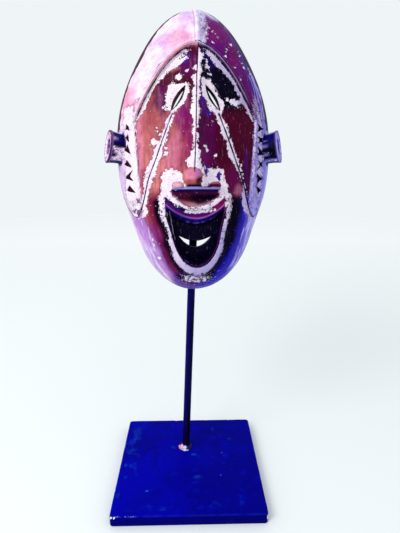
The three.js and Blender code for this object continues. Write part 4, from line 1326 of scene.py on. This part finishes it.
def paint_mask(mask):
    """Writes the stain with its painted light and shade, the chalk, its tint and painted shade, the cut line,
    crumb and bare fields on every vertex.
    """
    to_local = np.array(mask_matrix().inverted())
    p = world_points(mask) @ to_local[:3, :3].T + to_local[:3, 3]
    x, z, depth = p[:, 0], p[:, 2], -p[:, 1]
    f = surface_fields(x, z)
    n = lattice_noise(x, z, 6, 51)
    normal = np.empty(len(p) * 3, np.float32)
    mask.data.vertices.foreach_get("normal", normal)
    facing = normal.reshape(-1, 3) @ to_local[:3, :3].T
    facing = -facing[:, 1] / np.linalg.norm(facing, axis=1)
    colour, chalk = paint_nose(wood_colour(x, z, f), chalk_field(x, z, f), x, z)
    line = np.maximum(cut_field(x, z, f, n), rim_field(x, z, f, facing, n) * 2 - 1)
    crumb = np.zeros(len(p))
    for px, pz, wide, high, amount in CRUMBS:
        crumb = np.maximum(crumb, amount * patch(x, z, px, pz, wide, high, 0.7))
    # Inside of the mouth: bare, but for the flakes
    within = step(f["lip"] - 0.4, 1.0)
    chalk = mix(chalk, -6, within)
    for px, pz, wide, high, level in FLAKED_CHALK:
        chalk = np.maximum(chalk, level - 9 * (1 - patch(x, z, px, pz, wide, high, 1.2)))
    # Walls of the openings, painted near black as the shade in them; back and hollow
    under = carve(x, z, f) - depth
    near_eye = np.maximum(eye_distance(x, z, -1), eye_distance(x, z, 1)) > -1.8
    q = (x - SLOT["x"]) / SLOT["half"]
    low, high = slot_edges(q, 0)
    near_slot = (np.abs(q) < 1.08) & (z > low - 1.6) & (z < high + 1.6)
    rear = ((under > 4) & ~near_eye & ~near_slot) | (depth < 0.8)
    wall = (under > 1.2) & (depth > 1.2) & (f["t"] < 0.96) & ~rear
    colour[wall] = linear("night")
    colour[rear] = hollow_colour(x, z, depth)[rear]
    chalk[wall | rear] = NO_CHALK
    line[wall | rear] = NO_LINE
    crumb[wall | rear] = 0
    for side in (-1, 1):
        belongs, ear, ear_chalk = ear_colour(p, side)
        colour[belongs] = ear[belongs]
        chalk[belongs] = ear_chalk[belongs]
        line[belongs] = NO_LINE
        crumb[belongs] = 0
    stain_and_painted_light = mask.data.color_attributes.new("stain_and_painted_light", "FLOAT_COLOR", "POINT")
    stain_and_painted_light.data.foreach_set("color", np.column_stack([colour, np.ones(len(p))]).ravel())
    bare = np.maximum(rear.astype(float), 0.85 * within)
    fields = {"chalk": chalk, "tint_and_shade": chalk_tint_and_shade(x, z, f), "line": line, "crumb": crumb, "bare": bare}
    add_fields(mask, fields)


# Materials
class Shader:
    """Small helper that adds and links nodes of one material."""

    def __init__(self, name):
        self.material = bpy.data.materials.new(name)
        self.material.use_nodes = True
        self.tree = self.material.node_tree
        self.out = self.tree.nodes["Principled BSDF"]

    def add(self, kind, inputs=None, **settings):
        node = self.tree.nodes.new("ShaderNode" + kind)
        for key, value in settings.items():
            setattr(node, key, value)
        for key, value in (inputs or {}).items():
            self.put(node.inputs[key], value)
        return node

    def put(self, socket, value):
        if isinstance(value, bpy.types.NodeSocket):
            self.tree.links.new(value, socket)
        else:
            socket.default_value = value

    def math(self, operation, a, b=0.0, c=0.0):
        return self.add("Math", {0: a, 1: b, 2: c}, operation=operation).outputs[0]

    def scaled(self, a, factor, b=0.0):
        """A value times a factor, and another added to it."""
        return self.math("MULTIPLY_ADD", a, factor, b)

    def ramp(self, value, low, high, to_low=0.0, to_high=1.0):
        """Smooth step of a value from low to high."""
        node = self.add("MapRange", {0: value, 1: low, 2: high, 3: to_low, 4: to_high})
        node.interpolation_type = "SMOOTHSTEP"
        return node.outputs[0]

    def colour(self, factor, a, b, blend="MIX"):
        node = self.add("Mix", {0: factor, 6: a, 7: b}, data_type="RGBA", blend_type=blend)
        return node.outputs[2]

    def layers(self, colour, rows):
        """Lays colours over one, each where its value goes from low to high, up to an amount."""
        for value, low, high, amount, rgb in rows:
            colour = self.colour(self.ramp(value, low, high, 0, amount), colour, rgba(*rgb))
        return colour

    def place(self, stretch=(1, 1, 1)):
        where = self.add("TexCoord").outputs["Object"]
        if stretch == (1, 1, 1):
            return where
        return self.add("Mapping", {"Vector": where, "Scale": stretch}).outputs[0]

    def along(self, axis):
        return self.add("SeparateXYZ", {0: self.place()}).outputs[axis]

    def noise(self, scale, detail=2.0, stretch=(1, 1, 1), rough=0.5):
        """Noise over the object's own coordinates, with about scale features in a metre."""
        where = self.place(stretch)
        node = self.add("TexNoise", {"Vector": where, "Scale": scale, "Detail": detail, "Roughness": rough})
        return node.outputs["Fac"]

    def attribute(self, name, output="Fac"):
        return self.add("Attribute", attribute_name=name).outputs[output]

    def finish(self, colour, roughness, specular, height=None, bump=0.0):
        """Links the finished colour, roughness and height, and gives the material."""
        self.put(self.out.inputs["Base Color"], colour)
        self.put(self.out.inputs["Roughness"], roughness)
        self.out.inputs["Specular IOR Level"].default_value = specular
        if height:
            made = self.add("Bump", {"Height": height, "Strength": bump, "Distance": 0.001})
            self.put(self.out.inputs["Normal"], made.outputs[0])
        return self.material


def painted_wood():
    """Worn stain with its painted light and shade, chalk left round the cuts, dark cut lines painted as their
    shade, grain and fine scratches.
    """
    s = Shader("painted_wood")
    rag = s.noise(300, 3, rough=0.65)
    fine = s.noise(900, 2, rough=0.6)
    blotch = s.noise(110, 3, rough=0.6)
    grain = s.noise(520, 4, stretch=(1, 1, 0.10), rough=0.65)
    ragged = s.math("ADD", s.scaled(fine, 5.0, -2.5), s.scaled(rag, 9.0, -4.5))
    field = s.math("ADD", s.attribute("chalk"), ragged)
    dots = s.scaled(s.attribute("crumb"), 0.26, s.noise(620, 5, rough=0.75))
    chalk = s.math("MAXIMUM", s.ramp(field, -0.3, 0.25), s.ramp(dots, 0.70, 0.73))
    flying = s.ramp(s.noise(620, 0), 0.828, 0.85, 0, 0.8)
    flying = s.math("MULTIPLY", flying, s.math("SUBTRACT", 1.0, s.attribute("bare")))
    chalk = s.math("MAXIMUM", chalk, flying)
    stain_and_painted_light = s.attribute("stain_and_painted_light", "Color")
    deeper = s.colour(1.0, stain_and_painted_light, (0.86, 0.74, 0.86, 1), "MULTIPLY")
    stain_and_painted_light = s.colour(s.ramp(blotch, 0.62, 0.38), stain_and_painted_light, deeper)
    stain_and_painted_light = s.layers(stain_and_painted_light, [
        (grain, 0.60, 0.75, 0.16, (238, 190, 220)),
        (grain, 0.42, 0.30, 0.42, (30, 0, 30)),
    ])
    halo = s.math("MULTIPLY", s.ramp(field, -2.2, -0.7), 0.5)
    stain_and_painted_light = s.colour(halo, stain_and_painted_light, s.colour(1.0, stain_and_painted_light, (0.30, 0.12, 0.42, 1), "MULTIPLY"))
    # Chalk, white where lit and lavender where painted as in shade
    white = s.colour(s.attribute("tint_and_shade"), rgba(*CHALK_LIT_AND_SHADED_TINTS[0]), rgba(*CHALK_LIT_AND_SHADED_TINTS[1]))
    white = s.layers(white, [
        (blotch, 0.56, 0.40, 0.35, (206, 176, 216)),
        (fine, 0.48, 0.34, 0.55, (150, 112, 180)),
    ])
    # Dark cut lines, painted as shade, brown on the lit left and navy on the shaded right
    cut = s.math("ADD", s.attribute("line"), s.scaled(fine, 1.6, -0.8))
    dark = s.colour(s.ramp(s.along(0), -0.01, 0.03), rgba(*CUT_SHADE_COLOURS[0]), rgba(*CUT_SHADE_COLOURS[1]))
    colour = s.colour(s.ramp(cut, -0.15, 0.3), s.colour(chalk, stain_and_painted_light, white), dark)
    height = s.scaled(chalk, 0.35, s.math("MULTIPLY", grain, 0.2))
    height = s.math("ADD", height, s.math("MULTIPLY", fine, 0.12))
    height = s.math("ADD", height, s.math("MULTIPLY", blotch, 0.5))
    return s.finish(colour, s.ramp(chalk, 0, 1, 0.42, 0.9), 0.03, height, 0.8)


# Stand: plate, rod and weld, in millimetres of the frame
PLATE = {"half": 90.0, "thick": 13.0, "corner": 4.0, "bevel": 0.7}
ROD = {"radius": 5.0, "foot": (-4.6, 29.0), "right": 0.039, "back": 0.066, "base": 13.3, "top": 541.0}
WELD_LEG = 4.6
WELD_HEAVY = 1.9
# Marks on the plate's top: x, y, half width, half depth and strength
PLATE_MARKS = [
    (-76, 62, 10, 26, 0.5), (-70, 70, 8, 18, 0.35), (-80, 40, 8, 16, 0.45), (-79, 22, 10, 11, 0.5),
    (-75, 14.3, 5, 1.2, 1.15), (-83, -7, 2.5, 4, 0.7), (-76, -9, 3, 4, 0.5), (-80, -29, 4, 5, 0.6),
    (-70, -10, 5, 30, 0.35), (-51.5, -52.4, 2.8, 1.5, 1), (44.3, 14.4, 1.3, 1.3, 1.3),
    (40, -27.8, 1.3, 1.3, 1.3), (45, -7, 1.6, 1, 0.9), (13, -30, 12, 4, 0.5), (6, 12, 6, 3, 0.9),
    (13, 8, 3, 2, 0.7), (-22, 28, 6, 6, 0.55), (26, 80, 10, 7, 0.45), (34, 64, 4, 14, 0.35),
    (58, 43, 6, 5, 0.4), (40, -70, 22, 12, 0.3), (60, -76, 14, 8, 0.35), (-40, -78, 30, 7, 0.3),
    (-84, -60, 4, 14, 0.45),
]
# Chips on the plate's edge: x, y, radius and depth
PLATE_CHIPS = [
    (-89, -89.5, 3, 1.3), (-84.5, -90, 2.6, 0.8), (89.5, -89, 2, 0.6), (-76, -90, 2, 0.5),
    (-60, -90, 2.4, 0.5), (-34, -90, 2.6, 0.4), (-28, -90, 1.8, 0.35), (6, -90, 1.6, 0.3),
    (30, -90, 2.4, 0.3), (52, -90, 2, 0.3), (90, 20, 2, 0.3), (-90, -50, 2, 0.35), (-90, 30, 2.4, 0.4),
    (-20, 90, 2.6, 0.4), (60, 90, 2, 0.3),
]


def square_loop(inset, count=400):
    """Points round a square with round corners, in even steps, as two arrays."""
    half = PLATE["half"] - inset
    r = max(PLATE["corner"] - inset, 0.02)
    s = np.arange(count) / count * 4
    side = s.astype(int)
    t = (s - side) * 2 - 1
    one = np.ones(count)
    px = np.choose(side, [one, -t, -one, t]) * half
    py = np.choose(side, [t, one, -t, -one]) * half
    core = half - r
    cx, cy = np.clip(px, -core, core), np.clip(py, -core, core)
    dx, dy = px - cx, py - cy
    long = np.maximum(np.hypot(dx, dy), 1e-9)
    corner = (np.abs(px) > core) & (np.abs(py) > core)
    return np.where(corner, cx + dx / long * r, px), np.where(corner, cy + dy / long * r, py)


def chip_depth(x, y):
    deep = np.zeros(len(x))
    for px, py, radius, depth in PLATE_CHIPS:
        deep = np.maximum(deep, depth * smooth(1.3 * (1 - np.hypot(x - px, y - py) / radius)))
    return deep


def plate_loops():
    """Insets and heights of the loops from the underside's middle, over the edge, to the top's middle."""
    top = PLATE["thick"]
    b = PLATE["bevel"]
    loops = [(89, 0), (60, 0), (20, 0), (b, 0), (0.2, 0.2), (0, b), (0, 3), (0, 6), (0, 9), (0, top - 2)]
    loops += [(0, top - b), (0.12, top - 0.33), (0.35, top - 0.1), (b, top), (1.1, top), (1.8, top)]
    insets = [3, 4.5, 6, 8, 10, 12.5, 15, 18, *np.linspace(20, 88.8, 62)]
    return loops + [(inset, top) for inset in insets]


def plate_fields(x, y, z):
    """Marks, worn edges, chips and sides of the plate at each point."""
    top = PLATE["thick"]
    n = lattice_noise(x, y, 5, 64)
    mark = np.zeros(len(x))
    for px, py, wide, high, strength in PLATE_MARKS:
        d = np.hypot((x - px) / wide, (y - py) / high)
        mark = np.maximum(mark, strength * smooth(1.25 - d + 0.2 * n))
    border = np.minimum(PLATE["half"] - np.abs(x), PLATE["half"] - np.abs(y))
    # Pale rim along the top edges: wear, and partly a painted highlight, stronger on the lit left
    worn = (z > top - 0.9) * rise(2.2 - border, 1.6) * (0.4 + 0.6 * rise(-25 - x, 40))
    worn = worn * mix(0.6, 1, rise(-80 - y, 6))
    chip = rise(chip_depth(x, y) - 0.45, 0.4) * (z > top - 2.2) * (border < 2.6) * (x < 0)
    right = bell(x - 90, 1.6) * bell(y + 88.6, 1.6) * rise(z - 3, 2) * rise(11.5 - z, 2)
    left = bell(x + 90, 1.6) * bell(y + 89, 1.6) * rise(z - 5.5, 2) * 0.75
    chip = np.maximum(chip, np.maximum(right * 1.3, left))
    return {"mark": np.where(z > top - 0.6, mark, 0), "worn": worn, "chip": chip, "side": z < top - 0.7}


def build_plate():
    """Slab lofted through square loops, with worn and chipped upper edges."""
    top = PLATE["thick"]
    rings = []
    for inset, height in plate_loops():
        x, y = square_loop(inset)
        turn = np.arange(len(x)) * 1.8
        near_top = rise(height - top + 3, 2.6) * rise(2.2 - inset, 1.4)
        worn = near_top * np.maximum(0, two_noises(turn, 0 * turn, (7, 2.6), 61)) * 0.14
        cut = worn + chip_depth(x, y) * rise(height - top + 4, 3.5) * rise(3.4 - inset, 2.4)
        long = np.maximum(np.hypot(x, y), 1e-6)
        z = height - 0.8 * cut * (inset > 0.05)
        z = z - 0.05 * (1 + lattice_noise(x, y, 26, 63)) * (inset > 1) * (height > 1)
        rings.append(np.stack([x - x / long * cut, y - y / long * cut, z], 1))
    rings[0][:, :2] *= 0.2
    plate = new_object("steel_plate", *ring_loft([ring.tolist() for ring in rings]))
    weld(plate, 0.01)
    add_fields(plate, plate_fields(*world_points(plate).T))
    return plate


def rod_axis(height):
    """Where the leaning rod's middle is, at a height over its foot."""
    return ROD["foot"][0] + height * ROD["right"], ROD["foot"][1] + height * ROD["back"]


def build_rod():
    """Round bar with slight hammer marks and a broken edge at its upper end."""
    turns = np.linspace(0, 2 * math.pi, 40, endpoint=False)
    tall = ROD["top"] - ROD["base"]
    heights = np.concatenate([[0], np.linspace(1.5, tall - 1.2, 170), [tall - 0.5, tall]])
    broken = {len(heights) - 2: 0.35, len(heights) - 1: 0.9}
    rings = []
    for i, height in enumerate(heights):
        x, y = rod_axis(height)
        dents = 0.05 * (1 + lattice_noise(turns * 4.4, np.full(40, height), 9, 71))
        r = ROD["radius"] - 0.02 - dents - broken.get(i, 0)
        ring = zip(x + r * np.cos(turns), y + r * np.sin(turns))
        rings.append([(px, py, ROD["base"] + height) for px, py in ring])
    rod = new_object("steel_rod", *ring_loft(rings))
    p = world_points(rod)
    x, _ = rod_axis(p[:, 2] - ROD["base"])
    # across runs from -1 on the lit left to 1 on the shaded right, for the rod's painted shade
    across = (p[:, 0] - x) / ROD["radius"]
    add_fields(rod, {"across": across, "low": smooth((70 + ROD["base"] - p[:, 2]) / 70)})
    return rod


def build_weld():
    """Lumpy run of weld round the rod's foot, with overlapping ripples."""
    turns = np.linspace(0, 2 * math.pi, 132, endpoint=False)
    inner = ROD["radius"] + 0.32
    heavy = 0.5 - 0.5 * np.cos(turns - math.radians(50))
    lumps = np.abs(np.sin(turns * 6.5 + 0.8 * np.sin(turns * 2))) ** 0.7
    rough = lattice_noise(turns * 9, 0 * turns, 1.6, 81)
    leg = WELD_LEG * mix(0.66, WELD_HEAVY * 0.64, heavy) * (0.84 + 0.16 * lumps) + 0.25 * rough
    profile = [(0, 0), (0.5, 0), (1, 0), (1, 0.07), (0.93, 0.2), (0.8, 0.33), (0.62, 0.45), (0.44, 0.57),
               (0.27, 0.69), (0.13, 0.79), (0.04, 0.84), (0, 0.85)]
    rings = []
    for out, up in profile:
        bead = 0.22 * np.sin(turns * 23 + out * 9) * math.sin(math.pi * min(1, out + 0.1)) * (up > 0.03)
        radius = inner + leg * out + bead * 0.6
        height = np.maximum(0, leg * up + bead)
        rings.append(np.stack([
            ROD["foot"][0] + np.cos(turns) * radius + height * ROD["right"],
            ROD["foot"][1] + np.sin(turns) * radius + height * ROD["back"],
            ROD["base"] + height,
        ], 1))
    bead = new_object("weld_run", *ring_loft(rings, hoop=True))
    weld(bead, 0.005)
    p = world_points(bead)
    turn = np.degrees(np.arctan2(p[:, 1] - ROD["foot"][1], p[:, 0] - ROD["foot"][0])) % 360
    out = np.hypot(p[:, 0] - ROD["foot"][0], p[:, 1] - ROD["foot"][1])
    n = lattice_noise(p[:, 0], p[:, 1], 1.3, 82)
    near = rise(14 - out, 5)
    # Pink and pale: bare worn metal, painted bright as lit on the left and at the front
    pink = bell(turn - 212, 42) * near + 0.16 * bell(turn - 345, 12)
    pale = bell(turn - 262, 24) * near
    add_fields(bead, {"pink": clamp01(pink + 0.3 * n), "pale": clamp01(pale + 0.35 * n)})
    return bead


def plate_steel():
    """Deep blue patina, uneven and smeared, painted lighter on the left as lit and darker on the sides as in
    shade, worn pale along the front edge, partly as a painted highlight, and at the chips.
    """
    s = Shader("plate_patina")
    wide = s.noise(14, 3, rough=0.6)
    mid = s.noise(70, 4, rough=0.65)
    fine = s.noise(700, 3, rough=0.6)
    brush = s.noise(60, 4, stretch=(1, 0.25, 1), rough=0.7)
    spots = s.scaled(s.attribute("mark"), 0.42, s.math("MULTIPLY", mid, 0.75))
    edge = s.math("MULTIPLY", s.attribute("worn"), s.ramp(mid, 0.36, 0.58))
    scuff = s.math("ADD", s.math("MULTIPLY", mid, 0.6), s.math("MULTIPLY", fine, 0.6))
    scuff = s.scaled(s.attribute("worn"), 0.3, scuff)
    # Painted lighter on the left, as lit, and darker to the right
    colour = s.colour(s.ramp(s.along(0), -0.085, 0.085), rgba(0, 0, 158), rgba(0, 0, 134))
    colour = s.layers(colour, [
        (wide, 0.38, 0.62, 0.7, (0, 0, 116)),
        (mid, 0.5, 0.7, 0.4, (2, 8, 168)),
        (brush, 0.54, 0.7, 0.4, (0, 0, 98)),
    ])
    # Sides painted darker than the top, as in shade
    colour = s.colour(s.math("MULTIPLY", s.attribute("side"), 0.94), colour, rgba(0, 0, 98))
    colour = s.layers(colour, [
        (spots, 0.46, 0.78, 0.55, (14, 66, 172)), (spots, 0.76, 0.92, 0.75, (110, 132, 226)),
        (fine, 0.70, 0.78, 0.25, (60, 70, 190)),
    ])
    colour = s.colour(s.math("MULTIPLY", edge, 0.55), colour, rgba(30, 40, 170))
    colour = s.layers(colour, [
        (scuff, 0.91, 0.96, 1, (130, 138, 220)),
        (s.scaled(fine, 0.5, s.attribute("chip")), 0.62, 0.8, 1, (226, 226, 250)),
    ])
    height = s.scaled(mid, 0.5, s.math("MULTIPLY", fine, 0.3))
    return s.finish(colour, s.ramp(mid, 0.3, 0.7, 0.42, 0.6), 0.012, height, 0.5)


def rod_steel():
    """Satin black-blue paint, with painted shade down its right side, darker near the weld, with faint
    scratches.
    """
    s = Shader("rod_paint")
    fine = s.noise(900, 3, rough=0.6)
    drawn = s.noise(320, 3, stretch=(1, 1, 0.06), rough=0.6)
    colour = s.colour(s.ramp(s.attribute("across"), -0.7, 0.8), rgba(8, 2, 84), rgba(0, 0, 34))
    colour = s.layers(colour, [(drawn, 0.56, 0.70, 0.4, (30, 20, 120)), (drawn, 0.44, 0.32, 0.4, (2, 0, 34))])
    colour = s.colour(s.math("MULTIPLY", s.attribute("low"), 0.75), colour, rgba(6, 0, 24))
    colour = s.layers(colour, [(fine, 0.72, 0.80, 0.3, (70, 60, 170))])
    height = s.scaled(drawn, 0.4, s.math("MULTIPLY", fine, 0.2))
    return s.finish(colour, s.ramp(drawn, 0.3, 0.7, 0.38, 0.5), 0.03, height, 0.5)


def weld_steel():
    """Dark painted weld, pink on the left and pale at the front, where it is worn bare and painted as lit."""
    s = Shader("weld_metal")
    lump = s.noise(420, 3, rough=0.65)
    fine = s.noise(1300, 2)
    pink, pale = s.attribute("pink"), s.attribute("pale")
    colour = s.layers(s.colour(s.ramp(lump, 0.4, 0.6), rgba(4, 0, 48), rgba(22, 8, 88)), [
        (s.scaled(lump, 1.6, pink), 1.25, 1.5, 1, (176, 84, 150)),
        (s.scaled(fine, 1.6, pink), 1.50, 1.75, 1, (250, 186, 200)),
        (s.scaled(lump, 1.8, pale), 1.40, 1.65, 1, (208, 206, 248)),
    ])
    height = s.scaled(lump, 1.0, s.math("MULTIPLY", fine, 0.4))
    return s.finish(colour, s.ramp(lump, 0.3, 0.7, 0.35, 0.65), 0.12, height, 0.7)


def dress(made, material, node):
    """Smooths a finished piece and puts it in place of its plain node."""
    made.data.shade_smooth()
    made.data.set_sharp_from_angle(angle=SHARP_ANGLE)
    made.data.materials.clear()
    made.data.materials.append(material)
    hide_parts(node)
    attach(made, "root")


# Floor, light and camera
def build_floor():
    bm = bmesh.new()
    bmesh.ops.create_circle(bm, cap_ends=True, radius=FLOOR_RADIUS, segments=128)
    mesh = bpy.data.meshes.new("floor")
    bm.to_mesh(mesh)
    bm.free()
    s = Shader("pale_floor")
    far = s.add("MapRange", {0: s.along(1), 1: 0.1, 2: 1.6}).outputs[0]
    mesh.materials.append(s.finish(s.colour(far, FLOOR_NEAR, FLOOR_FAR), 0.9, 0.1))
    put_in_scene("floor", mesh)


def build_world():
    world = bpy.data.worlds.new("studio")
    world.use_nodes = True
    background = world.node_tree.nodes["Background"]
    background.inputs["Color"].default_value = SKY
    background.inputs["Strength"].default_value = 1.0
    bpy.context.scene.world = world


def build_light():
    data = bpy.data.lights.new("key", "AREA")
    data.shape = "DISK"
    data.size = LIGHT_SIZE
    data.energy = LIGHT_POWER
    data.color = LIGHT_COLOUR
    light = put_in_scene("key", data)
    light.location = LIGHT_PLACE
    light.rotation_euler = (Vector(LIGHT_AIM) - Vector(LIGHT_PLACE)).to_track_quat("-Z", "Y").to_euler()


def build_camera():
    data = bpy.data.cameras.new("camera")
    data.sensor_width = SENSOR
    data.lens = FOCAL_PIXELS / FRAME_TALL * SENSOR
    data.clip_start = 0.01
    camera = put_in_scene("camera", data)
    camera.location = CAMERA_PLACE
    camera.rotation_euler = (CAMERA_TILT, 0, CAMERA_ROLL)
    bpy.context.scene.camera = camera


def main():
    build_camera()
    build_world()
    build_floor()
    build_light()
    bpy.context.scene.view_settings.view_transform = "Standard"
    mask = build_mask()
    mask.data.transform(mask_matrix())
    mask.data.update()
    paint_mask(mask)
    dress(mask, painted_wood(), "mask")
    for build, material, node, slot in (
        (build_plate, plate_steel, "base_plate", "plate_steel"),
        (build_rod, rod_steel, "support_rod", "rod_steel"),
        (build_weld, weld_steel, "weld_bead", "weld_steel"),
    ):
        made = build()
        made.data.transform(Matrix.Scale(MM, 4))
        made.data.update()
        dress(made, material(), node)


main()
